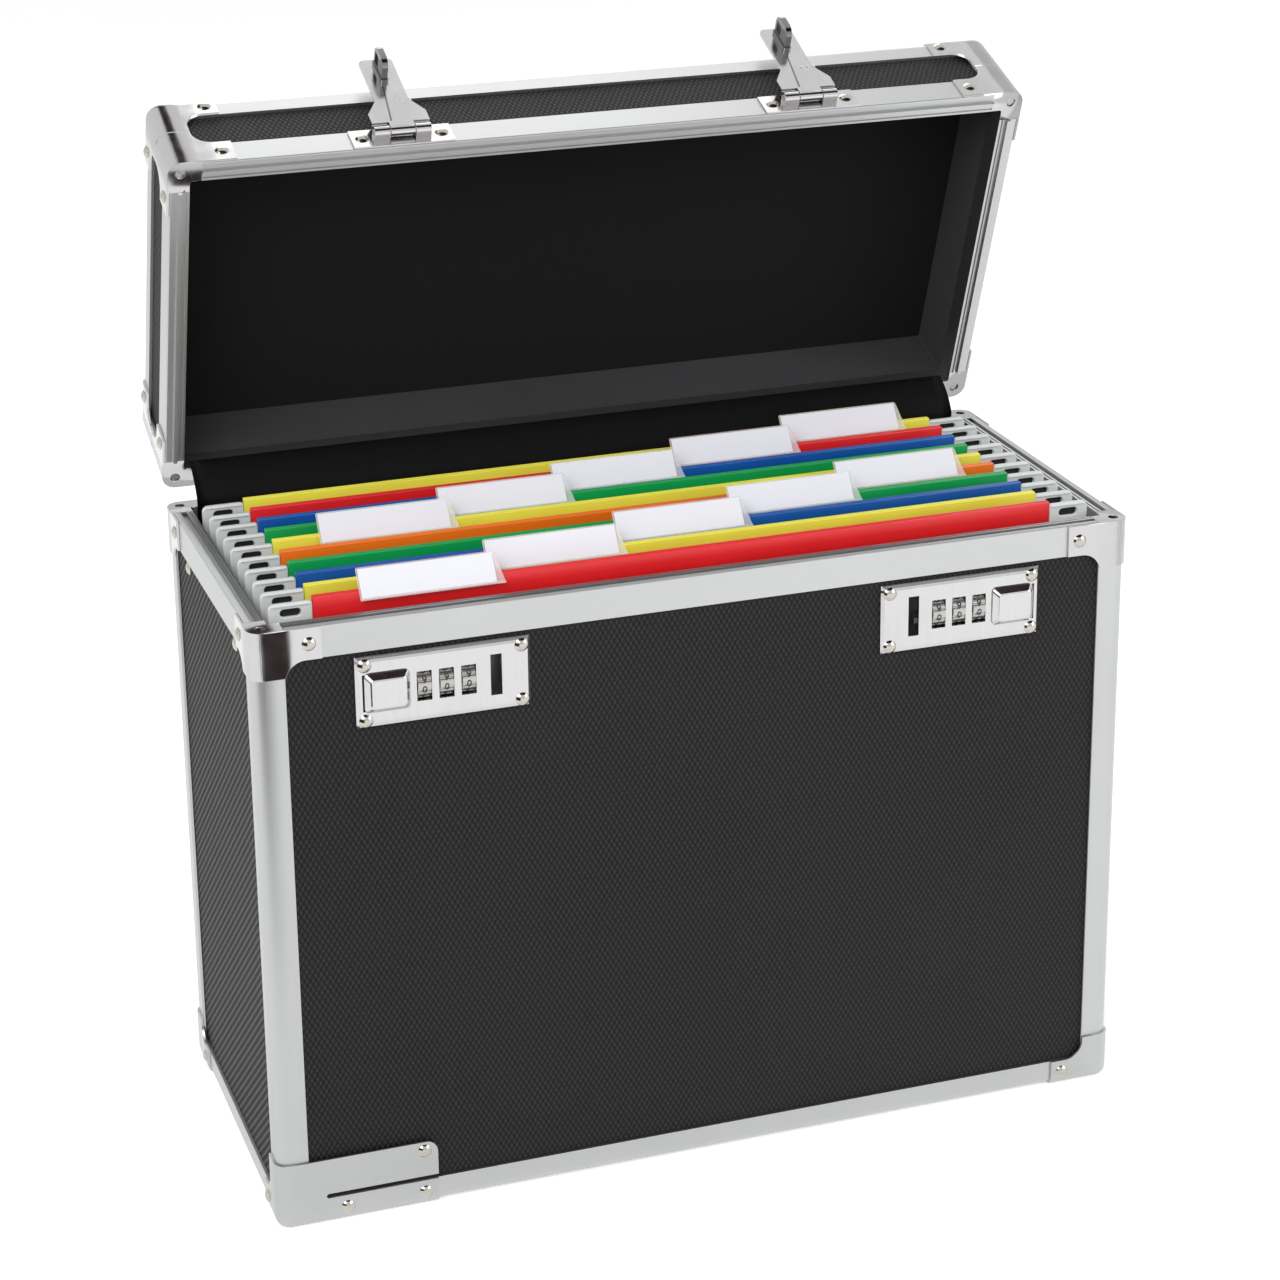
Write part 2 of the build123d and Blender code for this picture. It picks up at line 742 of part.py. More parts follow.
with BuildPart() as lock_plates:
    with BuildSketch(Plane.XZ.offset(panel_face)) as outline:
        with Locations((-lock_offset, lock_z), (lock_offset, lock_z)):
            Rectangle(lock_length, lock_height)
    extrude(outline.sketch, amount=lock_plate_thickness)
    chamfer(lock_plates.faces().group_by(Axis.Y)[0].edges(), lock_bevel)
    for _, side in lock_sides:
        with BuildSketch(Plane.XZ.offset(panel_face)) as cuts:
            with Locations((lock_x(side, slot_along), lock_z + slot_up)):
                Rectangle(slot_width, slot_height)
            with Locations((lock_x(side, button_window_along), lock_z)):
                Rectangle(button_window, button_height + 2 * fit_gap)
            for along in dial_alongs():
                with Locations((lock_x(side, along), lock_z)):
                    Rectangle(dial_width + 2 * free_gap, dial_window)
        extrude(cuts.sketch, amount=2 * lock_plate_thickness, mode=Mode.SUBTRACT)
    drill(lock_spots, rivet_radius, 2 * lock_plate_thickness)
save(lock_plates, "lock_plates")

with BuildPart() as lock_cases:
    for _, side in lock_sides:
        with Locations((side * lock_offset, case_y, lock_z)):
            Box(case_length, case_depth, case_height)
        with Locations((side * lock_offset, case_y - case_wall, lock_z)):
            inner = (case_length - 2 * case_wall, case_depth, case_height - 2 * case_wall)
            Box(*inner, mode=Mode.SUBTRACT)
        for end in (-1, 1):
            lug_front = axle_in + 2 * axle_radius
            lug_back = case_back + case_wall / 2
            lug_bottom = bolt_nose_up + bolt_nose_height / 2 + free_gap
            lug_top = 2 * axle_radius
            middle = (lug_bottom + lug_top) / 2
            x = lock_x(side, dial_along + end * lug_along)
            with Locations((x, -(lug_front + lug_back) / 2, lock_z + middle)):
                Box(lug_thickness, lug_front - lug_back, lug_top - lug_bottom)
            with Locations(Location((x, -axle_in, lock_z), (0, 90, 0))):
                Cylinder(axle_radius, 2 * lug_thickness, mode=Mode.SUBTRACT)
save(lock_cases, "lock_cases")

with BuildPart() as dial_axles:
    for _, side in lock_sides:
        axle_length = 2 * (lug_along + lug_thickness / 2)
        with Locations(Location((lock_x(side, dial_along), -axle_in, lock_z), (0, 90, 0))):
            Cylinder(axle_radius, axle_length)
save(dial_axles, "dial_axles")

for word, side in lock_sides:
    for number, along in enumerate(sorted(dial_alongs(), reverse=side > 0), start=1):
        with BuildPart() as dial:
            with BuildSketch(Plane.YZ.offset(lock_x(side, along))) as section:
                with Locations((-axle_in, lock_z)):
                    Circle(dial_radius)
                    Circle(axle_radius + running_gap, mode=Mode.SUBTRACT)
                    with PolarLocations(dial_radius, dial_notches, 180 / dial_notches):
                        Circle(dial_notch_radius, mode=Mode.SUBTRACT)
            extrude(section.sketch, amount=dial_width / 2, both=True)
        save(dial, f"{word}_dial_{number}")

    # The button slides away from the dials. Its flange runs behind the plate.
    with BuildPart() as lock_button:
        button_x = lock_x(side, button_along)
        button_back = panel_face - fit_gap / 2
        with BuildSketch(Plane.XZ.offset(button_back)) as cap_outline:
            with Locations((button_x, lock_z)):
                Rectangle(button_length, button_height)
        extrude(cap_outline.sketch, amount=lock_face + button_proud - button_back)
        chamfer(lock_button.faces().sort_by(Axis.Y)[0].edges(), button_bevel)
        flange_length = button_length + button_lip - 2 * fit_gap
        with Locations((lock_x(side, button_along + button_lip), -button_back, lock_z)):
            Box(
                flange_length,
                button_lip_thickness,
                button_height + 2 * button_lip,
                align=(Align.CENTER, Align.MIN, Align.CENTER),
            )
    save(lock_button, f"{word}_lock_button")

    # A bar under the dials, a post at its end, and a nose beside the slot.
    with BuildPart() as lock_bolt:
        bolt_front = -button_back + button_lip_thickness
        bar_bottom = -case_height / 2 + case_wall + fit_gap
        nose_end = slot_along - hook_thickness / 2 - bolt_short
        post_end = dial_along + dials_reach + free_gap + button_travel + bolt_post
        nose_top = bolt_nose_up + bolt_nose_height / 2
        with BuildSketch(Plane.XZ.offset(-bolt_front)) as shape:
            with BuildLine():
                Polyline(
                    (lock_x(side, button_along), lock_z + bar_bottom),
                    (lock_x(side, post_end), lock_z + bar_bottom),
                    (lock_x(side, post_end), lock_z + nose_top - bolt_nose_height),
                    (lock_x(side, nose_end), lock_z + nose_top - bolt_nose_height),
                    (lock_x(side, nose_end), lock_z + nose_top),
                    (lock_x(side, post_end - bolt_post), lock_z + nose_top),
                    (lock_x(side, post_end - bolt_post), lock_z + bar_bottom + bolt_height),
                    (lock_x(side, button_along), lock_z + bar_bottom + bolt_height),
                    close=True,
                )
            make_face()
        extrude(shape.sketch, amount=-bolt_thickness)
    save(lock_bolt, f"{word}_lock_bolt")


# ---- Hinges -----------------------------------------------------------------------------
def hinge_leaves(mouth, spots, own):
    """Two hinge leaves on the rear rim rail, with every other knuckle of their barrels."""
    knuckle = hinge_length / hinge_knuckles
    arm_in = hinge_barrel_radius - rim_gap / 2 - hinge_leaf_thickness
    with BuildPart() as leaves:
        for x in hinge_xs:
            leaf_y = half_depth + hinge_leaf_thickness / 2
            leaf_z = rim_rail_leg - hinge_leaf_height / 2
            with Locations(mouth.location * Location((x, leaf_y, leaf_z))):
                Box(hinge_length, hinge_leaf_thickness, hinge_leaf_height)
            for index in range(own, hinge_knuckles, 2):
                middle = x - hinge_length / 2 + knuckle * (index + 0.5)
                arm = Location((middle, half_depth, arm_in))
                with Locations(mouth.location * arm):
                    Box(
                        knuckle - fit_gap,
                        hinge_out,
                        hinge_leaf_thickness,
                        align=(Align.CENTER, Align.MIN, Align.MIN),
                    )
                barrel = Location((middle, half_depth + hinge_out, -rim_gap / 2), (0, 90, 0))
                with Locations(mouth.location * barrel):
                    Cylinder(hinge_barrel_radius, knuckle - fit_gap)
            bore = Location((x, half_depth + hinge_out, -rim_gap / 2), (0, 90, 0))
            with Locations(mouth.location * bore):
                Cylinder(hinge_pin_radius + running_gap, 2 * hinge_length, mode=Mode.SUBTRACT)
        drill(spots, rivet_radius, rim_rail_leg / 2)
    return leaves


hinge_body_leaves = hinge_leaves(body_mouth, body_hinge_spots, 0)
save(hinge_body_leaves, "hinge_body_leaves")

lid_hinge_spots = hinge_spots(lid_mouth)
hinge_lid_leaves = hinge_leaves(lid_mouth, lid_hinge_spots, 1)
save(hinge_lid_leaves, "hinge_lid_leaves")

with BuildPart() as hinge_pins:
    for x in hinge_xs:
        with Locations(Location((x, hinge_y, hinge_z), (0, 90, 0))):
            Cylinder(hinge_pin_radius, hinge_length)
save(hinge_pins, "hinge_pins")


# ---- Hinge cover: a flexible strip inside, from the rear wall over both rims to the lid --
def lid_point(y, z):
    """Where a point of the closed lid's middle section stands when the lid is open."""
    place = on_lid(0, y, z).position
    return (place.Y, place.Z)


cover_front = half_depth - rim_width - free_gap - cover_thickness
low_point = (cover_front, body_height - cover_down)
rim_point = (cover_front, body_height + cover_rise)
lid_edge_point = lid_point(cover_front, lid_rim + cover_rise)
lid_end_point = lid_point(cover_front, lid_rim + cover_up)
with BuildPart() as hinge_cover:
    with BuildSketch(Plane.YZ) as strip:
        with BuildLine() as route:
            Line(low_point, rim_point)
            ease_y = cover_ease * sin(radians(lid_open_angle))
            ease_z = cover_ease * cos(radians(lid_open_angle))
            Bezier(
                rim_point,
                (rim_point[0], rim_point[1] + cover_ease),
                (lid_edge_point[0] - ease_y, lid_edge_point[1] - ease_z),
                lid_edge_point,
            )
            Line(lid_edge_point, lid_end_point)
        trace(route.line, line_width=cover_thickness)
    extrude(strip.sketch, amount=cover_width / 2, both=True)
save(hinge_cover, "hinge_cover")

# ---- The lid's shell --------------------------------------------------------------------
lid_top_panel = closing_panel(lid_roof)
with lid_top_panel:
    drill(bracket_spots, rivet_radius, bracket_thickness + panel_thickness)
save(lid_top_panel, "lid_top_panel")

lid_front_panel = long_panel(lid_roof, lid_height, -1)
save(lid_front_panel, "lid_front_panel")

lid_rear_panel = long_panel(lid_roof, lid_height, 1)
save(lid_rear_panel, "lid_rear_panel")

lid_end_panels = end_panels(lid_roof, lid_height)
save(lid_end_panels, "lid_end_panels")

lid_lining = lining(lid_roof, lid_height)
save(lid_lining, "lid_lining")

lid_corner_posts = corner_posts(lid_roof, lid_height)
save(lid_corner_posts, "lid_corner_posts")

lid_top_rails = edge_rails(lid_roof, lid_roof_spots)
save(lid_top_rails, "lid_top_rails")

lid_rim_rails = rim_rails(lid_mouth, lid_rim_spots + lid_hinge_spots + hasp_spots, tongue=True)
save(lid_rim_rails, "lid_rim_rails")

lid_rim_corner_caps = rim_caps(lid_mouth, lid_cap_arm, lid_rim_spots)
save(lid_rim_corner_caps, "lid_rim_corner_caps")

lid_top_corner_caps = edge_caps(lid_roof, lid_cap_arm, lid_roof_spots)
save(lid_top_corner_caps, "lid_top_corner_caps")

# ---- Hasps ------------------------------------------------------------------------------
hasp_base_height = rim_rail_leg - 2 * hasp_base_edge
outer_knuckle_along = (hasp_knuckle + hasp_outer_knuckle) / 2

with BuildPart() as hasp_bases:
    for side in (-1, 1):
        x = side * hook_x
        face = -half_depth - hasp_base_thickness / 2
        with Locations(on_lid(x, face, lid_rim + rim_rail_leg / 2)):
            Box(hasp_base_length, hasp_base_thickness, hasp_base_height)
        for end in (-1, 1):
            knuckle_x = x + end * outer_knuckle_along
            saddle_y = -half_depth - hasp_pin_proud / 2
            with Locations(on_lid(knuckle_x, saddle_y, pin_z)):
                Box(hasp_outer_knuckle - fit_gap, hasp_pin_proud, 2 * hasp_barrel_radius)
            with Locations(on_lid(knuckle_x, pin_y, pin_z) * Rotation(0, 90, 0)):
                Cylinder(hasp_barrel_radius, hasp_outer_knuckle - fit_gap)
        with Locations(on_lid(x, pin_y, pin_z) * Rotation(0, 90, 0)):
            bore_length = hasp_base_length
            Cylinder(hasp_pin_radius, bore_length, mode=Mode.SUBTRACT)
    drill(hasp_spots, rivet_radius, rivet_radius + hasp_base_thickness)
save(hasp_bases, "hasp_bases")

with BuildPart() as hasp_pins:
    for side in (-1, 1):
        with Locations(on_lid(side * hook_x, pin_y, pin_z) * Rotation(0, 90, 0)):
            Cylinder(hasp_pin_radius, hasp_knuckle + 2 * hasp_outer_knuckle)
save(hasp_pins, "hasp_pins")

for word, side in lock_sides:
    hasp_x = side * hook_x
    with BuildPart() as hasp:
        with BuildSketch(carry(hasp_place, Plane.XZ.offset(hasp_back))) as plate:
            with BuildLine():
                neck = hasp_knuckle / 2 - fit_gap
                Polyline(
                    (hasp_x - neck, pin_z),
                    (hasp_x - neck, pin_z - hasp_neck),
                    (hasp_x - hasp_wide / 2, pin_z - hasp_neck),
                    (hasp_x - hasp_wide / 2, pin_z - hasp_wide_end),
                    (hasp_x - hasp_narrow / 2, pin_z - hasp_shoulder_end),
                    (hasp_x - hasp_narrow / 2, pin_z - hasp_length),
                    (hasp_x + hasp_narrow / 2, pin_z - hasp_length),
                    (hasp_x + hasp_narrow / 2, pin_z - hasp_shoulder_end),
                    (hasp_x + hasp_wide / 2, pin_z - hasp_wide_end),
                    (hasp_x + hasp_wide / 2, pin_z - hasp_neck),
                    (hasp_x + neck, pin_z - hasp_neck),
                    (hasp_x + neck, pin_z),
                    close=True,
                )
            make_face()
            tip = plate.vertices().group_by(Axis.Y)[0]
            fillet(tip, hasp_tip_radius)
        extrude(plate.sketch, amount=hasp_thickness)
        with Locations(hasp_place * Location((hasp_x, pin_y, pin_z), (0, 90, 0))):
            Cylinder(hasp_barrel_radius, hasp_knuckle - 2 * fit_gap)
            Cylinder(hasp_pin_radius + running_gap, hasp_knuckle, mode=Mode.SUBTRACT)
    save(hasp, f"{word}_hasp")

    # A blade that stands on the back of the plate, on a low foot.
    with BuildPart() as hasp_hook:
        hook_z = pin_z - hook_down
        with BuildSketch(carry(hasp_place, Plane.YZ.offset(hasp_x))) as blade:
            with Locations((-hasp_back + hook_depth / 2, hook_z)):
                Rectangle(hook_depth, hook_length)
            fillet(blade.vertices().group_by(Axis.X)[-1], hook_curve)
            window_y = -hasp_back + hook_window_in + hook_window / 2
            with Locations((window_y, hook_z + hook_window_up)):
                Rectangle(hook_window, hook_window, mode=Mode.SUBTRACT)
        extrude(blade.sketch, amount=hook_thickness / 2, both=True)
        with BuildSketch(carry(hasp_place, Plane.XZ.offset(hasp_back))) as foot:
            with Locations((hasp_x, hook_z)):
                RectangleRounded(hook_foot_width, hook_foot_length, inner_radius)
        extrude(foot.sketch, amount=-hook_foot_height)
    save(hasp_hook, f"{word}_hasp_hook")

# ---- Handle on the lid ------------------------------------------------------------------
handle_z = lid_top + handle_axis_up
with BuildPart() as handle_brackets:
    for side in (-1, 1):
        lug_x = side * (handle_span / 2 + bracket_lug / 2)
        base_x = side * (handle_span / 2 + (bracket_lug + bracket_length) / 2 - bracket_lug / 2)
        with Locations(on_lid(base_x, handle_y, lid_top + bracket_thickness / 2)):
            Box(bracket_length, bracket_base, bracket_thickness)
        lug_tall = handle_axis_up
        with Locations(on_lid(lug_x, handle_y, lid_top + lug_tall / 2)):
            Box(bracket_lug, 3 * handle_pin_radius, lug_tall)
        with Locations(on_lid(lug_x, handle_y, handle_z) * Rotation(0, 90, 0)):
            Cylinder(1.5 * handle_pin_radius, bracket_lug)
            bore = handle_pin_radius + running_gap
            Cylinder(bore, 2 * bracket_lug, mode=Mode.SUBTRACT)
    drill(bracket_spots, rivet_radius, 2 * bracket_thickness)
save(handle_brackets, "handle_brackets")

with BuildPart() as handle_grip:
    outer = handle_span - 2 * free_gap
    with BuildSketch(carry(lid_place, Plane.XY.offset(handle_z))) as outline:
        with Locations((0, handle_y + handle_reach / 2)):
            Rectangle(outer, handle_reach)
        with Locations((0, handle_y + (handle_reach - handle_bar) / 2 - handle_bar)):
            gap = handle_reach - handle_bar
            Rectangle(outer - 2 * handle_arm, gap + 2 * handle_bar, mode=Mode.SUBTRACT)
    extrude(outline.sketch, amount=handle_thickness / 2, both=True)
    along_bar = handle_grip.edges().filter_by(Axis.X)
    fillet(along_bar, (handle_thickness - handle_bar_softness) / 2)
    for side in (-1, 1):
        end_x = side * (outer / 2 - handle_arm / 2)
        with Locations(on_lid(end_x, handle_y, handle_z) * Rotation(0, 90, 0)):
            Cylinder(handle_thickness / 2, handle_arm)
        pin_x = side * (handle_span / 2 + bracket_lug / 2)
        pin_length = bracket_lug + 2 * free_gap + handle_pin_root
        root_x = pin_x - side * handle_pin_root / 2
        with Locations(on_lid(root_x, handle_y, handle_z) * Rotation(0, 90, 0)):
            Cylinder(handle_pin_radius, pin_length)
save(handle_grip, "handle_grip")

# ---- Rivets -----------------------------------------------------------------------------
cap_rivet = rivet(cap_rivet_depth)
plate_rivet = rivet(cap_thickness)
lock_rivet = rivet(lock_plate_thickness + panel_thickness)
file_rail_rivet = rivet(file_rail_rivet_length)
hinge_rivet = rivet(hinge_rivet_depth)
hasp_rivet = rivet(hasp_base_thickness + rail_thickness)
bracket_rivet = rivet(bracket_thickness + panel_thickness)

with BuildPart() as body_rivets:
    with Locations(*(body_rim_spots + body_base_spots + plate_spots)):
        add(cap_rivet)
    with Locations(plate_high_spot):
        add(plate_rivet)
    with Locations(*lock_spots):
        add(lock_rivet)
    with Locations(*file_rail_spots):
        add(file_rail_rivet)
    with Locations(*body_hinge_spots):
        add(hinge_rivet)
save(body_rivets, "body_rivets")

with BuildPart() as lid_rivets:
    with Locations(*(lid_rim_spots + lid_roof_spots)):
        add(cap_rivet)
    with Locations(*hasp_spots):
        add(hasp_rivet)
    with Locations(*lid_hinge_spots):
        add(hinge_rivet)
    with Locations(*bracket_spots):
        add(bracket_rivet)
save(lid_rivets, "lid_rivets")

# ---- Hanging files: a pocket, a hooked hanger at each end, and a leaning tab ------------
for index, colour in enumerate(file_colours):
    file_y = -half_depth + file_first + file_pitch * index
    with BuildPart() as file:
        with Locations((0, file_y, pocket_top - pocket_height / 2)):
            Box(pocket_width, pocket_thickness, pocket_height)
        for side in (-1, 1):
            with BuildSketch(Plane.XZ.offset(-file_y)) as hanger:
                inner_x = pocket_width / 2 + clip_gap
                length = hook_span / 2 - inner_x
                tall = hanger_top + hanger_bottom
                with Locations((side * (inner_x + length / 2), body_height + hanger_top - tall / 2)):
                    RectangleRounded(length, tall, inner_radius)
                with Locations((side * (inner_x + inner_radius), body_height + hanger_top - tall / 2)):
                    Rectangle(2 * inner_radius, tall)
                notch_top = body_height - file_rail_lip_top + free_gap
                notch_bottom = body_height - 2 * hanger_bottom
                with Locations((side * rail_pitch / 2, (notch_top + notch_bottom) / 2)):
                    Rectangle(hanger_notch, notch_top - notch_bottom, mode=Mode.SUBTRACT)
                with Locations((side * (inner_x + length / 2), body_height - hanger_hole_height)):
                    SlotOverall(hanger_hole_length, hanger_hole_height, mode=Mode.SUBTRACT)
            extrude(hanger.sketch, amount=hanger_thickness / 2, both=True)
        tab_x = tab_first + tab_step * (index % tabs_in_row)
        with BuildSketch(Plane.YZ.offset(tab_x)) as tab:
            tab_foot = pocket_top - tab_drop
            lean = tab_height * tan(radians(tab_lean))
            back = file_y - pocket_thickness / 2 - clip_gap - tab_drop * tan(radians(tab_lean))
            front = back - tab_thickness
            with BuildLine():
                Polyline(
                    (front, tab_foot),
                    (back, tab_foot),
                    (back + lean, tab_foot + tab_height),
                    (front + lean, tab_foot + tab_height),
                    close=True,
                )
            make_face()
        extrude(tab.sketch, amount=tab_width / 2, both=True)
    save(file, f"file_{index + 1:02d}_{colour}")
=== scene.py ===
# %% [markdown]
# # A portable file box
# The real object is an aluminium-framed case that stands open and shows a row of coloured
# hanging files. Its frame, panels and fittings are rigid, so their shapes come from the packed
# model. What this lesson adds is what a maker's hands and machines leave on them: broken edges,
# drawn and plated metal, embossed sheet, moulded plastic, paper labels and a folded hinge cover.

# %% Load the packed frame
import math

import bmesh
import bpy
from mathutils import Matrix, Vector, noise


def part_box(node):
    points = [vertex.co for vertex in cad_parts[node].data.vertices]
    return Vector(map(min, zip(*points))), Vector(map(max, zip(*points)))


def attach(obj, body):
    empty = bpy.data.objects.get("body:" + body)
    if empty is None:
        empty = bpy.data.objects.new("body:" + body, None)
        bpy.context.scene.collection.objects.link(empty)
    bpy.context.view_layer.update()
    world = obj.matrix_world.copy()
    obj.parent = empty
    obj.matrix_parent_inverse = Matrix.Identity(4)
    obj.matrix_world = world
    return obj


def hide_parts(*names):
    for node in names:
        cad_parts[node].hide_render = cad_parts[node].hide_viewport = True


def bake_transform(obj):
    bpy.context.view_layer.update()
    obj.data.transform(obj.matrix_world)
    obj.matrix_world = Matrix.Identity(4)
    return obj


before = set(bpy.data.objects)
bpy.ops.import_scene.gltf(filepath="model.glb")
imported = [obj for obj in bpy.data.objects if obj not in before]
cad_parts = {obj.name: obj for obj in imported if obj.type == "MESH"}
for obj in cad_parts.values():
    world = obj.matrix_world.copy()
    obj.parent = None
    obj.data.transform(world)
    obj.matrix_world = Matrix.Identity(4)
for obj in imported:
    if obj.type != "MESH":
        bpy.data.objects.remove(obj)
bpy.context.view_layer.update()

# %% [markdown]
# ## Where the moving halves stand
# The lid stands open and the two hasps are thrown back over it. Each of their pieces is easier
# to think about in the closed box, where everything is square. So a piece is made there, and its
# object carries the turn. Textures then follow the closed box too, which keeps drawn lines and
# embossing parallel to the edges of the lid.

# %% Turns of the lid and the hasps
MM = 0.001
HINGE = Vector((0, 86.0, 256.25)) * MM
HASP_PIN = Vector((0, -83.4, 263.0)) * MM


def turned(centre, degrees):
    """A turn about a line along X through a point."""
    turn = Matrix.Rotation(math.radians(degrees), 4, "X")
    return Matrix.Translation(centre) @ turn @ Matrix.Translation(-centre)


CLOSED = Matrix.Identity(4)
LID_OPEN = turned(HINGE, -70)
HASP_THROWN = LID_OPEN @ turned(HASP_PIN, -176)
STANDS = {"lid": LID_OPEN, "handle": LID_OPEN, "left_hasp": HASP_THROWN, "right_hasp": HASP_THROWN}
tip = LID_OPEN @ (Vector((0, -80, 256.5)) * MM)
print("lid's front edge stands at", [round(v, 4) for v in tip])

# %% [markdown]
# ## Writing materials as sums
# A material here is a short recipe of patterns added and multiplied together. Building those
# sums node by node hides the idea, so one small class lets a socket take part in Python sums,
# and one method makes every other node. Colours and vectors have their own mixers, because a
# plain sum would turn a colour grey.


# %% A socket that can be used in sums
class Signal:
    """A shader socket that takes part in Python sums."""

    def __init__(self, recipe, socket):
        self.recipe, self.socket = recipe, socket

    def _with(self, operation, *values):
        return self.recipe.node("ShaderNodeMath", {"operation": operation}, dict(enumerate(values)))

    def __add__(self, other):
        return self._with("ADD", self, other)

    def __sub__(self, other):
        return self._with("SUBTRACT", self, other)

    def __rsub__(self, other):
        return self._with("SUBTRACT", other, self)

    def __mul__(self, other):
        return self._with("MULTIPLY", self, other)

    def __pow__(self, other):
        return self._with("POWER", self, other)

    def __gt__(self, other):
        return self._with("GREATER_THAN", self, other)

    __radd__ = __add__
    __rmul__ = __mul__


print("a socket has", sum(callable(part) for part in vars(Signal).values()), "methods")


# %% One method for every other node
class Recipe:
    """The nodes of one finish, or of the studio's world."""

    def __init__(self, name, shelf=bpy.data.materials):
        self.owner = shelf.new(name)
        self.owner.use_nodes = True
        self.tree = self.owner.node_tree
        self.tree.nodes.clear()

    def node(self, kind, settings=None, sockets=None, output=0):
        """A node with its settings, then its sockets' values or links. Gives one output."""
        made = self.tree.nodes.new(kind)
        for key, value in (settings or {}).items():
            setattr(made, key, value)
        for key, value in (sockets or {}).items():
            if isinstance(value, Signal):
                self.tree.links.new(value.socket, made.inputs[key])
            else:
                made.inputs[key].default_value = value
        return Signal(self, made.outputs[output]) if len(made.outputs) else None

    def place(self):
        """Where a point is on its piece, in metres of the closed box."""
        return self.node("ShaderNodeTexCoord", output="Object")

    def stretched(self, place, factors):
        return self.node("ShaderNodeVectorMath", {"operation": "MULTIPLY"}, {0: place, 1: factors})

    def cloud(self, place, per_metre, detail=2.0, rough=0.5):
        """Soft noise with features about 1 / per_metre across."""
        sockets = {"Vector": place, "Scale": per_metre, "Detail": detail, "Roughness": rough}
        return self.node("ShaderNodeTexNoise", None, sockets)

    def blend(self, share, one, other):
        """A colour between two colours."""
        sockets = {0: share, 6: one, 7: other}
        return self.node("ShaderNodeMix", {"data_type": "RGBA"}, sockets, 2)

    def raised(self, height, depth, strength=1.0):
        """The normals of a surface raised by height times depth, in millimetres."""
        sockets = {"Height": height, "Distance": depth * MM, "Strength": strength}
        return self.node("ShaderNodeBump", None, sockets)

    def done(self, **sockets):
        """Closes the recipe with one shader. Names use _ for a space."""
        named = {key.replace("_", " "): value for key, value in sockets.items()}
        shader = self.node("ShaderNodeBsdfPrincipled", None, named)
        return self.shown(shader)

    def shown(self, shader):
        self.node("ShaderNodeOutputMaterial", None, {"Surface": shader})
        return self.owner


def paint(red, green, blue):
    """A colour as a socket wants it."""
    return (red, green, blue, 1)


def scaled(colour, share):
    """A colour made lighter or darker, and never brighter than white."""
    return paint(*(min(1.0, share * part) for part in colour))


def grey(tone):
    return paint(tone, tone, tone)


def tell(title, finishes):
    """Prints the names of the finishes that a cell made."""
    print(title, [finish.name for finish in finishes])


print("recipe methods:", [name for name in vars(Recipe) if not name.startswith("_")])


# %% [markdown]
# ## Anodised aluminium
# The rails and posts are extrusions: pulled through a die, which leaves faint straight lines
# along their length, then etched and anodised, which gives a fine even satin. Noise squeezed
# across the rail and stretched along it makes the lines, and a much finer noise the etch. Rails
# run level and posts stand upright, so the lines come in two directions. Rim, posts and caps are
# also rounded a little toward the corners of the box. That is a height that falls off past a
# distance from the middle: it bends the mirror image and leaves the outline alone.


# %% Aluminium finishes
def swell(recipe, place, axis, middle, start, rate):
    """A height that falls off past a distance from a middle, in millimetres."""
    along = recipe.node("ShaderNodeSeparateXYZ", None, {0: place}, axis) * 1000 - middle
    past = recipe.node("ShaderNodeMath", {"operation": "ABSOLUTE"}, {0: along}) - start
    past = recipe.node("ShaderNodeMath", {"operation": "MAXIMUM"}, {0: past, 1: 0.0})
    return past * past * -rate


def anodised(name, stretch, tone=0.50, rough=0.30, domes=()):
    recipe = Recipe(name)
    place = recipe.place()
    lines = recipe.cloud(recipe.stretched(place, stretch), 1.0, 3.0, 0.6)
    etch = recipe.cloud(place, 2600.0, 2.0)
    patches = recipe.cloud(place, 14.0, 3.0)
    tint = lines * 0.35 + patches * 0.65
    skin = (lines * 0.6 + etch * 0.4) * 0.010
    for dome in domes:
        skin = skin + swell(recipe, place, *dome)
    dark = paint(tone * 0.90, tone * 0.91, tone * 0.91)
    light = paint(tone * 1.08, tone * 1.09, tone * 1.10)
    return recipe.done(
        Base_Color=recipe.blend(tint, dark, light),
        Metallic=1.0,
        Roughness=rough + lines * 0.10 + etch * 0.06,
        Normal=recipe.raised(skin, 1.0, 0.8),
    )


RIM_DOMES = [("X", 0, 176.0, 0.035), ("Y", 0, 72.0, 0.035)]
POST_DOMES = [("X", 0, 173.0, 0.030), ("Y", 0, 70.0, 0.030)]
SATIN_DOMES = [("X", 0, 172.0, 0.022), ("Y", 0, 70.0, 0.022)]
LEVEL_LINES, UPRIGHT_LINES = (4, 4, 1500), (1500, 1500, 4)
level_aluminium = anodised("aluminium_rail", LEVEL_LINES)
rim_aluminium = anodised("aluminium_rim", LEVEL_LINES, 0.52, 0.32, RIM_DOMES)
upright_aluminium = anodised("aluminium_post", UPRIGHT_LINES, domes=POST_DOMES)
satin_steel = anodised("satin_cap", (6, 6, 700), 0.47, 0.24, SATIN_DOMES)
tell("aluminium:", [level_aluminium, rim_aluminium, upright_aluminium, satin_steel])

# %% [markdown]
# ## Bright plating
# Caps, lock plates, hasps and rivets are pressed from steel sheet, polished a little and plated.
# Plating copies the sheet under it, so it is never a perfect mirror: it has a soft orange-peel
# wave, fine wipe marks, and duller patches where fingers touch it. Pressing also leaves caps and
# lock plates slightly domed toward their edges.


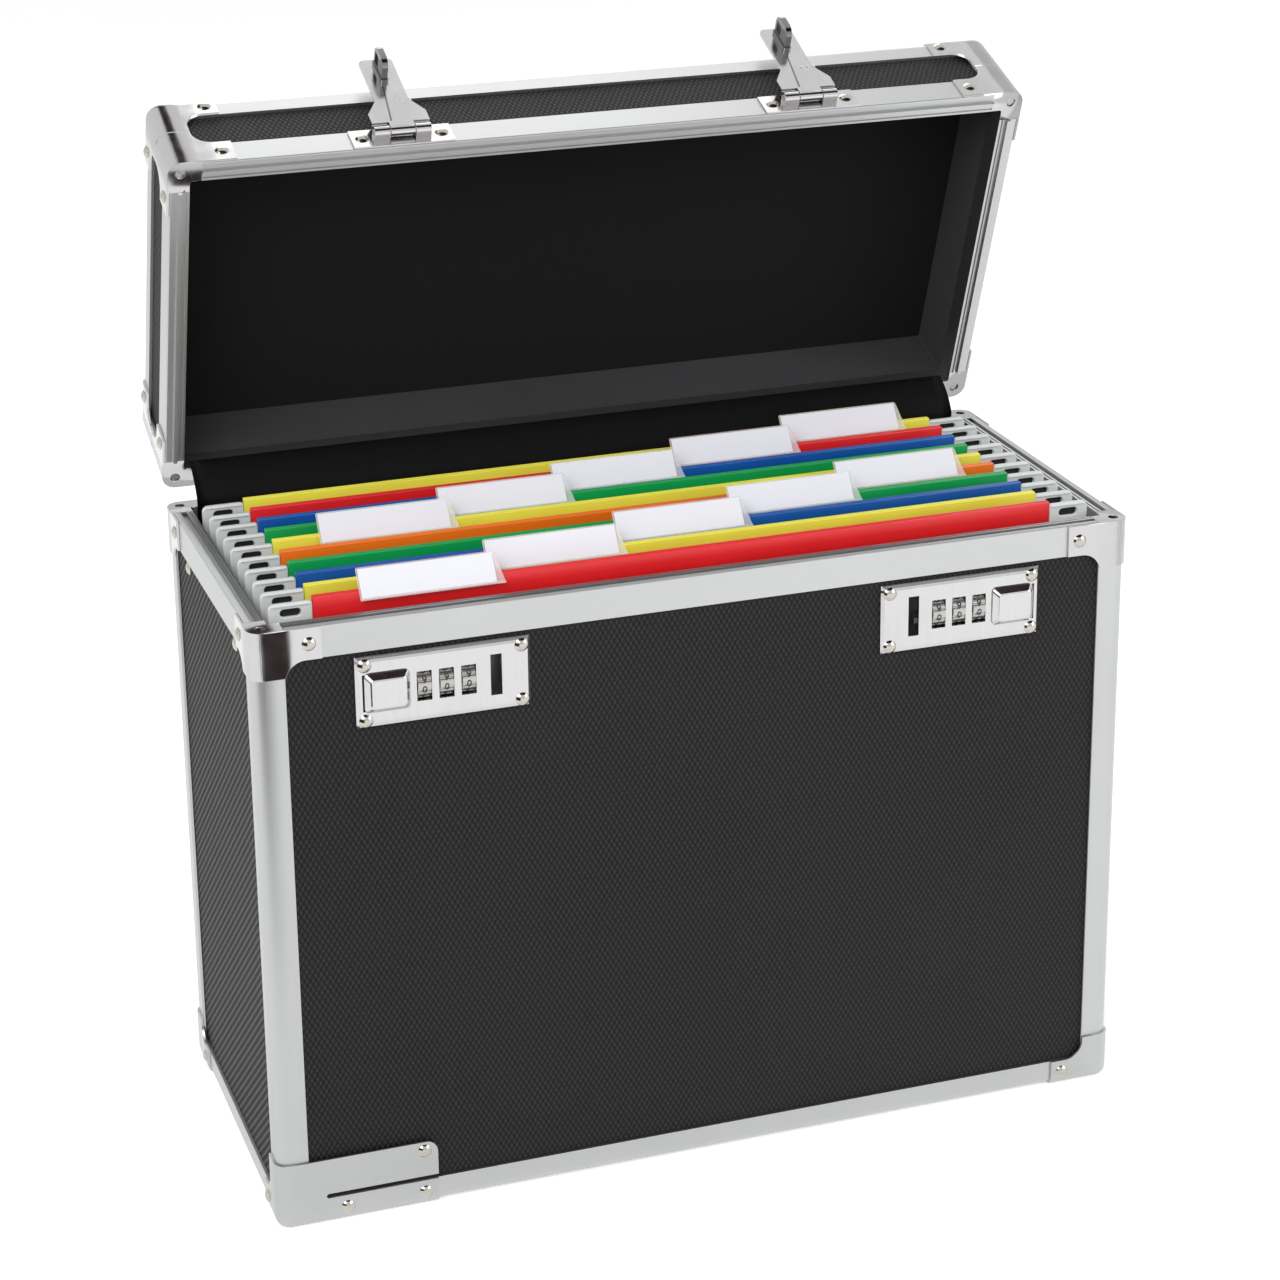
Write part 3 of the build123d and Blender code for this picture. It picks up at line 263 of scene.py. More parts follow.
# %% Plated finishes
def plated(name, tone, rough=0.07, wave=0.02, waves=260.0, domes=()):
    recipe = Recipe(name)
    place = recipe.place()
    peel = recipe.cloud(place, waves, 1.0) * wave
    for dome in domes:
        peel = peel + swell(recipe, place, *dome)
    touch = recipe.cloud(place, 45.0, 4.0, 0.65)
    wipes = recipe.cloud(recipe.stretched(place, (900, 900, 60)), 1.0, 2.0)
    shade = touch * 0.6 + wipes * 0.4
    return recipe.done(
        Base_Color=recipe.blend(shade, scaled(tone, 0.86), scaled(tone, 1.08)),
        Metallic=1.0,
        Roughness=rough + (touch ** 2) * 0.22 + wipes * 0.05,
        Normal=recipe.raised(peel, 1.0, 1.0),
    )


LOCK_LEVEL = 226.0
BODY_DOMES = [("X", 0, 164.0, 0.020), ("Y", 0, 67.0, 0.022)]
LOCK_DOMES = [("Z", LOCK_LEVEL, 11.8, 0.10)]
bright_plate = plated("bright_plate", (0.58, 0.57, 0.575), wave=0.03, waves=120.0)
cap_plate = plated("cap_plate", (0.53, 0.525, 0.53), rough=0.06, wave=0.12, waves=75.0, domes=BODY_DOMES)
lock_plate = plated("lock_plate", (0.57, 0.565, 0.57), wave=0.03, waves=120.0, domes=LOCK_DOMES)
# Rivets are painted darker and warmer than the other plating, as painted reflection of dark surroundings.
rivet_plate_painted_reflection = plated("rivet_plate_painted_reflection", (0.50, 0.48, 0.43), rough=0.05)
# Dark plating for the hooks, also used for the painted shade along the hasps' folds.
hook_plate_and_fold_shade = plated("hook_plate_and_fold_shade", (0.22, 0.22, 0.22), rough=0.08)
plain_steel = plated("plain_steel", (0.42, 0.42, 0.41), rough=0.30)
dial_metal = plated("dial_metal", (0.46, 0.45, 0.43), rough=0.18)
tell("plated:", [bright_plate, cap_plate, lock_plate, rivet_plate_painted_reflection, hook_plate_and_fold_shade, plain_steel, dial_metal])

# %% [markdown]
# ## Embossed black sheet
# The walls are hardboard faced with a thin black plastic sheet that was rolled with rows of tiny
# diamonds. Two sets of slanting ridges that cross make a staggered grid of peaks. Where one set is
# higher than the other, as on the side walls, the eye sees slanting lines. The peaks are a little
# shinier than the valleys, and the colour carries painted light and shade: the peaks are painted
# much paler and the valleys much darker, as light falls on the diamonds. The two directions that a
# wall lies in are chosen by name, because the pattern is flat on each wall.


# %% Embossed finishes
def embossed(name, across, up, turn=0.0, pitch=(2.3, 3.98), slant=0.5, shade=0.0095, gloss=0.22):
    recipe = Recipe(name)
    place = recipe.place()
    if turn:
        settings = {"rotation_type": "X_AXIS"}
        sockets = {"Vector": place, "Center": tuple(HINGE), "Angle": math.radians(turn)}
        place = recipe.node("ShaderNodeVectorRotate", settings, sockets)
    turns = []
    for axis, length in zip((across, up), pitch):
        along = recipe.node("ShaderNodeSeparateXYZ", None, {0: place}, axis)
        turns.append(along * (2 * math.pi / (length * MM)))
    cosine = {"operation": "COSINE"}
    rising = recipe.node("ShaderNodeMath", cosine, {0: turns[0] + turns[1]})
    falling = recipe.node("ShaderNodeMath", cosine, {0: turns[0] - turns[1]})
    sockets = {"Value": rising * slant + falling * (1 - slant), "From Min": -0.25, "From Max": 0.8}
    bump = recipe.node("ShaderNodeMapRange", {"interpolation_type": "SMOOTHSTEP"}, sockets)
    pores = recipe.cloud(place, 3200.0, 2.0)
    cast = recipe.cloud(place, 9.0, 3.0)
    # Painted light and shade: the valleys are painted much darker and the peaks much paler.
    low = paint(shade * 0.2, shade * 0.21, shade * 0.2)
    high = paint(shade * 2.7, shade * 2.8, shade * 2.7)
    return recipe.done(
        Base_Color=recipe.blend(bump * 0.75 + cast * 0.25, low, high),
        Roughness=0.56 - bump * 0.16 + pores * 0.10,
        Specular_IOR_Level=gloss,
        Normal=recipe.raised(bump + pores * 0.15, 0.22, 0.9),
    )


wall_front = embossed("embossed_front", "X", "Z")
# The side walls take the same sheet, painted paler as painted light at their grazing angle, with less
# gloss.
SIDE_SHEET_PAINTED_PALER = {"pitch": (4.7, 3.9), "slant": 0.85, "shade": 0.016, "gloss": 0.08}
wall_side = embossed("embossed_side", "Y", "Z", **SIDE_SHEET_PAINTED_PALER)
wall_level = embossed("embossed_level", "X", "Y")
lid_front = embossed("embossed_lid_front", "X", "Z", turn=70)
lid_side = embossed("embossed_lid_side", "Y", "Z", 70, **SIDE_SHEET_PAINTED_PALER)
lid_level = embossed("embossed_lid_level", "X", "Y", turn=70)
tell("embossed:", [wall_front, wall_side, wall_level, lid_front, lid_side, lid_level])

# %% [markdown]
# ## Flock, leathercloth and grip
# Inside, the case is lined with dark flock: short fibres that catch light at their tips, so it
# looks paler at a low angle. Sheen on the shader does that. The hinge cover is leathercloth with
# a pebbled grain, which cells of a Voronoi pattern give. The handle is moulded with a fine spark
# texture.


# %% Soft and dark finishes
def flocked(name, shade, roof=None):
    """Flock whose shade drops above the height of a roof, in millimetres."""
    recipe = Recipe(name)
    place = recipe.place()
    fibres = recipe.cloud(place, 2400.0, 4.0, 0.7)
    nap = recipe.cloud(place, 22.0, 3.0)
    low = paint(shade * 0.6, shade * 0.58, shade * 0.62)
    high = paint(shade * 1.4, shade * 1.34, shade * 1.44)
    colour = recipe.blend(fibres * 0.6 + nap * 0.4, low, high)
    if roof:
        above = recipe.node("ShaderNodeSeparateXYZ", None, {0: place}, "Z") > roof * MM
        colour = recipe.blend(above, colour, grey(shade * 0.2))
    return recipe.done(
        Base_Color=colour,
        Roughness=0.88 + nap * 0.1,
        Sheen_Weight=0.05,
        Sheen_Roughness=0.5,
        Specular_IOR_Level=0.12,
        Normal=recipe.raised(fibres, 0.12, 0.7),
    )


def grained(name, shade, cells, depth, rough):
    recipe = Recipe(name)
    place = recipe.place()
    pebbles = recipe.node("ShaderNodeTexVoronoi", None, {"Vector": place, "Scale": cells})
    fine = recipe.cloud(place, cells * 2.5, 3.0)
    return recipe.done(
        Base_Color=recipe.blend(pebbles * 0.5 + fine * 0.5, grey(shade * 0.7), grey(shade * 1.3)),
        Roughness=rough + fine * 0.15,
        Specular_IOR_Level=0.25,
        Normal=recipe.raised(1 - pebbles + fine * 0.4, depth, 0.7),
    )


flock = flocked("dark_flock", 0.022)
# The lid's flock is painted paler than the body's, as painted light on its upturned walls; its roof is
# darker.
lid_flock_painted_light = flocked("lid_flock_painted_light", 0.042, roof=294.2)
leathercloth = grained("leathercloth", 0.007, 900.0, 0.10, 0.62)
# A dark grained finish for the file rails, also used for the sheets of painted shade behind the files'
# holes.
dark_rail_and_shade_finish = grained("dark_rail_and_shade_finish", 0.016, 1800.0, 0.03, 0.45)
grip_black = grained("grip_black", 0.020, 1600.0, 0.06, 0.45)
tell("dark:", [flock, lid_flock_painted_light, leathercloth, dark_rail_and_shade_finish, grip_black])

# %% [markdown]
# ## Coloured and clear plastic, and paper
# The files are smooth moulded plastic in strong colours, with a little streaking from the mould
# and a clean gloss. Their end pieces are a milky grey. A tab is a clear clip, faintly tinted like
# its file, that holds a white paper label. Thin clear plastic is best done with alpha, because it
# then needs no bent light.

# %% Plastic and paper finishes
FILE_PAINTS = {
    "red": (0.74, 0.014, 0.018),
    "yellow": (0.80, 0.76, 0.070),
    "blue": (0.002, 0.085, 0.37),
    "green": (0.001, 0.33, 0.072),
    "orange": (0.84, 0.165, 0.006),
}


def moulded(name, colour, rough=0.30, alpha=1.0, coat=0.25, streak=0.12):
    recipe = Recipe(name)
    place = recipe.place()
    streaks = recipe.cloud(recipe.stretched(place, (12, 500, 500)), 1.0, 2.0)
    clouds = recipe.cloud(place, 40.0, 3.0)
    skin = recipe.cloud(place, 1400.0, 2.0)
    low, high = scaled(colour, 1 - streak), scaled(colour, 1 + streak)
    return recipe.done(
        Base_Color=recipe.blend(streaks * 0.5 + clouds * 0.5, low, high),
        Roughness=rough + clouds * 0.12,
        Coat_Weight=coat,
        Coat_Roughness=0.12,
        Alpha=alpha,
        Normal=recipe.raised(skin, 0.02, 0.5),
    )


def papery(name, tone):
    recipe = Recipe(name)
    place = recipe.place()
    fibres = recipe.cloud(recipe.stretched(place, (900, 2200, 2200)), 1.0, 3.0)
    clouds = recipe.cloud(place, 60.0, 3.0)
    return recipe.done(
        Base_Color=recipe.blend(fibres * 0.4 + clouds * 0.6, scaled(tone, 0.95), scaled(tone, 1.02)),
        Roughness=0.72 + fibres * 0.15,
        Normal=recipe.raised(fibres, 0.02, 0.6),
    )


file_plastic = {word: moulded("file_" + word, colour) for word, colour in FILE_PAINTS.items()}
clip_plastic = {
    word: moulded("clip_" + word, tuple(0.75 + 0.25 * c for c in colour), 0.12, alpha=0.35)
    for word, colour in FILE_PAINTS.items()
}
milky = moulded("milky_plastic", (0.66, 0.69, 0.68), 0.32, streak=0.05)
label_paper = papery("label_paper", (0.76, 0.76, 0.82))
digit_ink = moulded("digit_ink", (0.012, 0.012, 0.012), 0.5, coat=0.0)
tell("plastic and paper:", [*file_plastic.values(), *clip_plastic.values(), milky, label_paper, digit_ink])

# %% [markdown]
# ## Breaking the edges of rigid pieces
# No sheared, sawn or moulded edge is perfectly sharp. A thin bevel catches a line of light and is
# what makes metal look like metal. The packed shapes are right, so each is copied, its flat faces
# are joined up again, and a bevel modifier breaks only edges that are sharp. Weighted normals keep
# the large faces flat beside their small bevels.


# %% Copies with broken edges
WELD, FLAT = 0.002 * MM, math.radians(0.6)


def settled(piece, body, nodes, slot):
    """Puts a piece on its body, in place of the nodes that it stands for."""
    piece.matrix_world = STANDS.get(body, CLOSED)
    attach(piece, body)
    if nodes:
        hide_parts(*nodes)
    return piece


def linked(name, data):
    """An object in the scene that shows some data."""
    made = bpy.data.objects.new(name, data)
    bpy.context.scene.collection.objects.link(made)
    return made


def new_piece(name, mesh, finish):
    mesh.materials.clear()
    mesh.materials.append(finish)
    return linked(name, mesh)


def mesh_from(shape, name):
    """Closes a bmesh and gives its mesh."""
    mesh = bpy.data.meshes.new(name)
    shape.to_mesh(mesh)
    shape.free()
    return mesh


def smoothed(mesh, sharp):
    """Shades a mesh smooth, except at edges that turn by more than sharp degrees."""
    mesh.polygons.foreach_set("use_smooth", [True] * len(mesh.polygons))
    mesh.set_sharp_from_angle(angle=math.radians(sharp))


def soft_edges(piece, edge, sharp=32):
    """Bevels the sharp edges and keeps flat faces flat."""
    smoothed(piece.data, sharp)
    bevel = piece.modifiers.new("broken_edges", "BEVEL")
    bevel.width, bevel.segments = edge * MM, 2
    bevel.limit_method, bevel.angle_limit = "ANGLE", math.radians(sharp)
    flat = piece.modifiers.new("flat_faces", "WEIGHTED_NORMAL")
    flat.keep_sharp = True
    return piece


def worked(node, body, finish, edge, slot):
    """A rigid node copied, with its sharp edges broken."""
    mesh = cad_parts[node].data.copy()
    mesh.transform(STANDS.get(body, CLOSED).inverted())
    for layer in ("custom_normal", "sharp_edge", "sharp_face"):
        if layer in mesh.attributes:
            mesh.attributes.remove(mesh.attributes[layer])
    shape = bmesh.new()
    shape.from_mesh(mesh)
    bmesh.ops.remove_doubles(shape, verts=shape.verts, dist=WELD)
    bmesh.ops.dissolve_limit(shape, angle_limit=FLAT, verts=shape.verts, edges=shape.edges)
    shape.to_mesh(mesh)
    shape.free()
    piece = new_piece("dressed_" + node, mesh, finish)
    soft_edges(piece, edge)
    return settled(piece, body, [node], slot)


print("bodies that stand open:", sorted(STANDS))

# %% [markdown]
# ## The frame's rails, posts and caps
# The rails lie level and the posts stand upright, so each gets the aluminium with lines along it.
# The caps at the rim and on the lid are bright, and the ones at the base are satin. One of those
# is long and carries a bare plate above a slot.

# %% Dress the frame
FRAME_PIECES = [
    ("rim_rails", "box", rim_aluminium, 0.35, "aluminium"),
    ("base_rails", "box", level_aluminium, 0.22, "aluminium"),
    ("corner_posts", "box", upright_aluminium, 0.20, "aluminium"),
    ("file_rails", "box", dark_rail_and_shade_finish, 0.15, "aluminium"),
    ("lid_rim_rails", "lid", level_aluminium, 0.22, "aluminium"),
    ("lid_top_rails", "lid", level_aluminium, 0.22, "aluminium"),
    ("lid_corner_posts", "lid", upright_aluminium, 0.20, "aluminium"),
    ("rim_corner_caps", "box", cap_plate, 0.30, "chrome"),
    ("base_corner_caps", "box", satin_steel, 0.30, "chrome"),
    ("plate_corner_cap", "box", satin_steel, 0.30, "chrome"),
    ("lid_rim_corner_caps", "lid", cap_plate, 0.30, "chrome"),
    ("lid_top_corner_caps", "lid", cap_plate, 0.30, "chrome"),
    ("hinge_body_leaves", "box", plain_steel, 0.25, "steel"),
    ("hinge_lid_leaves", "lid", plain_steel, 0.25, "steel"),
    ("body_rivets", "box", rivet_plate_painted_reflection, 0.10, "chrome"),
    ("lid_rivets", "lid", rivet_plate_painted_reflection, 0.10, "chrome"),
]
for row in FRAME_PIECES:
    worked(*row)
print("frame pieces:", len(FRAME_PIECES))

# %% [markdown]
# The caps' flanges lie in the rim, and the closed lid's tongue runs up to their ends. Each end is
# filed back a little, so that the two never rub.

# %% File the flanges
FLANGE_LEVEL, FLANGE_ENDS, FILED, NEAR = 254.5, (170.5, 67.0), 0.15, 0.02
filed_count = 0
for vert in bpy.data.objects["dressed_rim_corner_caps"].data.vertices:
    for axis, end in enumerate(FLANGE_ENDS):
        off_end = abs(abs(vert.co[axis]) - end * MM)
        if vert.co.z > FLANGE_LEVEL * MM and off_end < NEAR * MM:
            vert.co[axis] = math.copysign((end + FILED) * MM, vert.co[axis])
            filed_count += 1
print("points filed:", filed_count)

# %% [markdown]
# ## Walls and linings
# The walls are flat boards whose shape in the packed model is already right, so they only take
# the embossed sheet. Lock cases, axles, pins and bolts hardly show, and take plain steel in the
# same way. The linings are thin trays, and their cut edges are softened by the flock, so they are
# copied with a wider bevel.

# %% Cover the walls and line the inside
COVERED = [
    ("front_panel", wall_front),
    ("rear_panel", wall_front),
    ("side_panels", wall_side),
    ("base_panel", wall_level),
    ("lid_front_panel", lid_front),
    ("lid_rear_panel", lid_front),
    ("lid_end_panels", lid_side),
    ("lid_top_panel", lid_level),
    ("lock_cases", plain_steel),
    ("dial_axles", plain_steel),
    ("hinge_pins", plain_steel),
    ("hasp_pins", plain_steel),
    ("left_lock_bolt", plain_steel),
    ("right_lock_bolt", plain_steel),
]
for node, finish in COVERED:
    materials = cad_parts[node].data.materials
    materials.clear()
    materials.append(finish)
worked("body_lining", "box", flock, 0.4, "lining_dark")
worked("lid_lining", "lid", lid_flock_painted_light, 0.4, "lining_dark")
print("nodes given a finish as they are:", len(COVERED))

# %% [markdown]
# ## Cutting shapes from sheet
# Many small parts are flat shapes with rounded corners and holes. A two-dimensional curve can
# hold an outline and its holes, and its extrude and bevel give a sheet with rounded edges in one
# go. It is turned into a mesh and laid in one of three directions.

# %% A cutter for flat shapes
FACES_FRONT = Matrix(((1, 0, 0, 0), (0, 0, -1, 0), (0, 1, 0, 0), (0, 0, 0, 1)))
FACES_SIDE = Matrix(((0, 0, 1, 0), (1, 0, 0, 0), (0, 1, 0, 0), (0, 0, 0, 1)))
CUT_SHARP = 50


def rounded(corners, radii, steps=5):
    """An outline through corners, each rounded by its radius."""
    points, count = [], len(corners)
    for index, corner in enumerate(corners):
        radius = radii[index] if isinstance(radii, (list, tuple)) else radii
        here = Vector(corner)
        before = (Vector(corners[index - 1]) - here).normalized()
        after = (Vector(corners[(index + 1) % count]) - here).normalized()
        half = before.angle(after) / 2
        reach = radius / math.tan(half)
        centre = here + (before + after).normalized() * (radius / math.sin(half))
        start, end = here + before * reach - centre, here + after * reach - centre
        sweep = start.angle_signed(end)
        for step in range(steps + 1):
            arm = start.copy()
            arm.rotate(Matrix.Rotation(-sweep * step / steps, 2))
            points.append(tuple(centre + arm))
    return points


def drawn(name, curve):
    """The mesh of a curve or of a text, which is then removed."""
    holder = linked(name, curve)
    bpy.context.view_layer.update()
    graph = bpy.context.evaluated_depsgraph_get()
    mesh = bpy.data.meshes.new_from_object(holder.evaluated_get(graph))
    bpy.data.objects.remove(holder)
    bpy.data.curves.remove(curve)
    return mesh


def cut_sheet(name, outline, holes, thickness, edge, lie, finish):
    """A flat shape in millimetres with rounded edges, laid by a matrix in metres."""
    curve = bpy.data.curves.new(name, "CURVE")
    curve.dimensions, curve.fill_mode = "2D", "BOTH"
    for ring in [outline, *holes]:
        spline = curve.splines.new("POLY")
        spline.points.add(len(ring) - 1)
        for point, (x, y) in zip(spline.points, ring):
            point.co = (x * MM, y * MM, 0, 1)
        spline.use_cyclic_u = True
    curve.extrude = (thickness / 2 - edge) * MM
    curve.bevel_depth, curve.bevel_resolution, curve.offset = edge * MM, 1, -edge * MM
    mesh = drawn(name, curve)
    mesh.transform(lie)
    smoothed(mesh, CUT_SHARP)
    return new_piece(name, mesh, finish)


def joined(name, pieces):
    """Several pieces of one finish as one mesh."""
    shape = bmesh.new()
    for piece in pieces:
        shape.from_mesh(piece.data)
    finish = pieces[0].data.materials[0]
    mesh = mesh_from(shape, name)
    for piece in pieces:
        bpy.data.objects.remove(piece)
    mesh.set_sharp_from_angle(angle=math.radians(CUT_SHARP))
    return new_piece(name, mesh, finish)


def box_outline(x0, y0, x1, y1, radius, steps=5):
    """A rectangle with rounded corners."""
    return rounded([(x0, y0), (x1, y0), (x1, y1), (x0, y1)], radius, steps)


def skinned(shape, rows, closed=False):
    """Smooth faces between rows of points, which may be closed rings."""
    if closed:
        rows = [[*row, row[0]] for row in rows]
    for low, high in zip(rows, rows[1:]):
        for corners in zip(low, low[1:], high[1:], high):
            shape.faces.new(corners).smooth = True


print("test outline has", len(box_outline(0, 0, 10, 5, 1)), "points")

# %% [markdown]
# ## Hanging files
# A hanging file is one folded sheet, a stiff strip along each of its two top edges, and a hooked
# end piece at each end that sits on the case's rails. All of it rides on its own file, because
# each file slides by itself. The folded sheet is a row of points down one face, round the fold and
# up the other, repeated along the file. It bellies out a little, as paper inside makes it do.

# %% Sizes of a file
FILE_NODES = sorted(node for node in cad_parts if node.startswith("file_") and node[5].isdigit())
FIRST_FILE, FILE_PITCH = -63.0, 13.5
POCKET_TOP, POCKET_FOOT, POCKET_END = 261.8, 22.6, 155.5


def file_middle(index):
    return FIRST_FILE + FILE_PITCH * index


print("files:", len(FILE_NODES), "from", FIRST_FILE, "to", file_middle(len(FILE_NODES) - 1))


# %% The folded sheet of a file
POCKET_HALF, POCKET_BULGE, POCKET_THICK = 1.05, 0.35, 0.3
FOLD_RADIUS, FOLD_LIFT = 1.3, 0.2
FACE_TOP, FACE_TALL, FACE_ROWS, FACE_COLUMNS = POCKET_TOP - 2.0, POCKET_TOP - POCKET_FOOT - 6, 10, 16


def pocket(index, word):
    """One sheet from the front strip, round the fold and up to the back strip."""
    middle = file_middle(index)
    face = [(-POCKET_HALF, FACE_TOP - step * FACE_TALL / FACE_ROWS) for step in range(FACE_ROWS + 1)]
    turns = [math.radians(degrees) for degrees in range(0, 181, 30)]
    lowest = POCKET_FOOT + FOLD_RADIUS + FOLD_LIFT
    fold = [(-FOLD_RADIUS * math.cos(turn), lowest - FOLD_RADIUS * math.sin(turn)) for turn in turns]
    section = face + fold + [(POCKET_HALF, z) for _, z in reversed(face)]
    shape, rows = bmesh.new(), []
    for y, z in section:
        row, tall = [], (z - POCKET_FOOT) / (POCKET_TOP - POCKET_FOOT)
        for column in range(FACE_COLUMNS + 1):
            share = column / FACE_COLUMNS
            x = -POCKET_END + 2 * POCKET_END * share
            bulge = max(0.0, math.sin(math.pi * share) * math.sin(math.pi * tall))
            wave = noise.noise(Vector((x * 0.02, z * 0.02, index * 3.1)))
            out = math.copysign(POCKET_BULGE * bulge * (1 + wave), y)
            row.append(shape.verts.new(Vector((x, middle + y + out, z)) * MM))
        rows.append(row)
    skinned(shape, rows)
    piece = new_piece(f"file_{index + 1:02d}_pocket", mesh_from(shape, "pocket"), file_plastic[word])
    solid = piece.modifiers.new("sheet", "SOLIDIFY")
    solid.thickness, solid.offset = POCKET_THICK * MM, 0
    return piece


print("a folded sheet is", round(2 * POCKET_END), "mm long and", round(POCKET_TOP - POCKET_FOOT), "mm tall")

# %% [markdown]
# The strips are what shows from above. Each is a plastic bar with a rounded top, and the cutter
# makes it in one go: a short outline, extruded along the whole file.

# %% The strips along the top of a file
STRIP_TALL, STRIP_INNER, STRIP_OUTER, STRIP_EDGE = 12.0, 0.25, 1.5, 0.25


def strips(index, word):
    """A beaded strip along each top edge."""
    middle, foot, bars = file_middle(index), POCKET_TOP - STRIP_TALL, []
    for side in (-1, 1):
        near, far = sorted((middle + side * STRIP_INNER, middle + side * STRIP_OUTER))
        corners = [(near, foot), (far, foot), (far, POCKET_TOP), (near, POCKET_TOP)]
        outline = rounded(corners, [0.3, 0.3, 0.5, 0.5], 4)
        bars.append(
            cut_sheet("bar", outline, [], 2 * POCKET_END, STRIP_EDGE, FACES_SIDE, file_plastic[word])
        )
    return joined(f"file_{index + 1:02d}_strips", bars)


print("a strip is", STRIP_TALL, "mm tall")

# %% [markdown]
# An end piece is moulded flat: a notch underneath sits on the rail, and an oval hole lets a finger
# pull it. A ridge stiffens its top. A dark sheet just behind the hole is painted shade, for the
# dark inside seen through it. The left end mirrors the right one.

# %% The hooked ends of a file
END_NEAR, END_FAR, END_FOOT, END_TOP, END_THICK = 155.6, 173.0, 238.0, 260.3, 2.2
NOTCH_NEAR, NOTCH_FAR, NOTCH_TOP = 165.0, 168.0, 244.3
END_OUTLINE = [
    (END_NEAR, END_TOP),
    (END_FAR, END_TOP),
    (END_FAR, END_FOOT),
    (NOTCH_FAR, END_FOOT),
    (NOTCH_FAR, NOTCH_TOP),
    (NOTCH_NEAR, NOTCH_TOP),
    (NOTCH_NEAR, END_FOOT),
    (END_NEAR, END_FOOT),
]
END_RADII = [1.2, 2.6, 1.6, 0.6, 0.5, 0.5, 0.6, 0.6]
HOLE = [(160.2, 254.7), (168.4, 254.7), (168.4, 257.9), (160.2, 257.9)]
RIDGE, RIDGE_THICK = [(156.4, 259.0), (171.6, 259.0), (171.6, 259.8), (156.4, 259.8)], 3.0
# A dark sheet a little behind each oval hole, as painted shade seen through the hole.
HOLE_SHADE, HOLE_SHADE_THICK, HOLE_SHADE_DEEP = box_outline(159.8, 254.3, 168.8, 258.3, 1.8, 4), 0.4, 0.7


def hooked_ends(index):
    """A milky end piece at each end, hooked over the rail, with an oval grip hole."""
    ends, windows = [], []
    lie = Matrix.Translation((0, file_middle(index) * MM, 0)) @ FACES_FRONT
    deep = lie @ Matrix.Translation((0, 0, -HOLE_SHADE_DEEP * MM))
    for side in (-1, 1):
        outline, hole, ridge, hole_shade_outline = (
            [(side * x, z) for x, z in points] for points in (END_OUTLINE, HOLE, RIDGE, HOLE_SHADE)
        )
        hole = rounded(hole, 1.5, 4)
        ends.append(cut_sheet("end", rounded(outline, END_RADII, 4), [hole], END_THICK, 0.45, lie, milky))
        # Painted shade: a dark sheet behind the hole.
        windows.append(cut_sheet("window", hole_shade_outline[::side], [], HOLE_SHADE_THICK, 0.1, deep, dark_rail_and_shade_finish))
        ends.append(cut_sheet("ridge", rounded(ridge, 0.3, 3), [], RIDGE_THICK, 0.2, lie, milky))
    return joined(f"file_{index + 1:02d}_ends", ends), joined(f"file_{index + 1:02d}_windows", windows)


print("an end piece spans", round(END_FAR - END_NEAR, 1), "mm, its notch", NOTCH_FAR - NOTCH_NEAR, "mm")

# %% [markdown]
# ## Tabs
# A tab leans back so that a reader who looks down can read it. It is a clear clip with a foot in
# front of the file's strip, and a paper label slid into it. The clip's right end is cut at a
# slant, where the label goes in. Each file's tab is one place further along, and the row starts
# again after five. Clips are pushed on by hand, so each stands a little off its place.

# %% Clip and label
TAB_LEAN, TAB_DROP, TAB_CLEAR = math.radians(35), 3.0, 2.15
TAB_FOOT, TAB_AHEAD = POCKET_TOP - TAB_DROP, TAB_CLEAR + TAB_DROP * math.tan(TAB_LEAN)
TAB_FIRST, TAB_STEP, TABS_IN_ROW = -105.5, 54.375, 5
TAB_SHIFTS = [-3.5, -3.0, 1.0, 0.5, -0.5, -2.8, -3.2, -4.0, 0.0, 1.5]
LABEL, LABEL_THICK = box_outline(-27.7, 0.3, 26.3, 12.6, 0.3, 3), 0.30
CLIP_CORNERS = [(-28.4, -0.2), (30.0, -0.2), (27.2, 13.3), (-28.4, 13.3)]
CLIP, CLIP_THICK, CLIP_BEHIND = rounded(CLIP_CORNERS, [0.4, 0.4, 1.2, 0.8], 4), 0.25, 0.35
LIP, LIP_THICK = rounded([(-28.4, -0.3), (30.0, -0.3), (29.7, 0.9), (-28.4, 0.9)], 0.2, 3), 1.0


def tab(index, word):
    """The clear clip and the label of one file, in the leaning plane of the tab."""
    across = TAB_FIRST + TAB_STEP * (index % TABS_IN_ROW) + TAB_SHIFTS[index]
    foot = Vector((across, file_middle(index) - TAB_AHEAD, TAB_FOOT)) * MM
    lean = Matrix.Translation(foot) @ Matrix.Rotation(-TAB_LEAN, 4, "X") @ FACES_FRONT
    back = lean @ Matrix.Translation((0, 0, -CLIP_BEHIND * MM))
    label = cut_sheet("label", LABEL, [], LABEL_THICK, 0.08, lean, label_paper)
    label.name = f"file_{index + 1:02d}_label"
    sheets = [
        cut_sheet("clip", CLIP, [], CLIP_THICK, 0.08, back, clip_plastic[word]),
        cut_sheet("lip", LIP, [], LIP_THICK, 0.2, lean, clip_plastic[word]),
    ]
    return joined(f"file_{index + 1:02d}_clip", sheets), label


print("a tab stands", round(TAB_AHEAD, 2), "mm ahead of its file's middle")

# %% [markdown]
# Every file is made the same way from its number and its colour word, which the name of its node
# carries. Only the sheet stands in for the node. The other pieces ride along with it.

# %% Make all the files
for index, node in enumerate(FILE_NODES):
    word = node.split("_")[2]
    settled(pocket(index, word), node, [node], "file_" + word)
    settled(strips(index, word), node, [], "file_" + word)
    for piece in (*hooked_ends(index), *tab(index, word)):
        settled(piece, node, [], "file_" + word)

# %% [markdown]
# ## Combination locks
# A lock is a bright bevelled plate with a sliding button, three numbered dials in windows and a
# slot for the hasp's hook. Plate, button and dials come from the packed model with their edges
# broken, and the cap and the numbers are added after that.

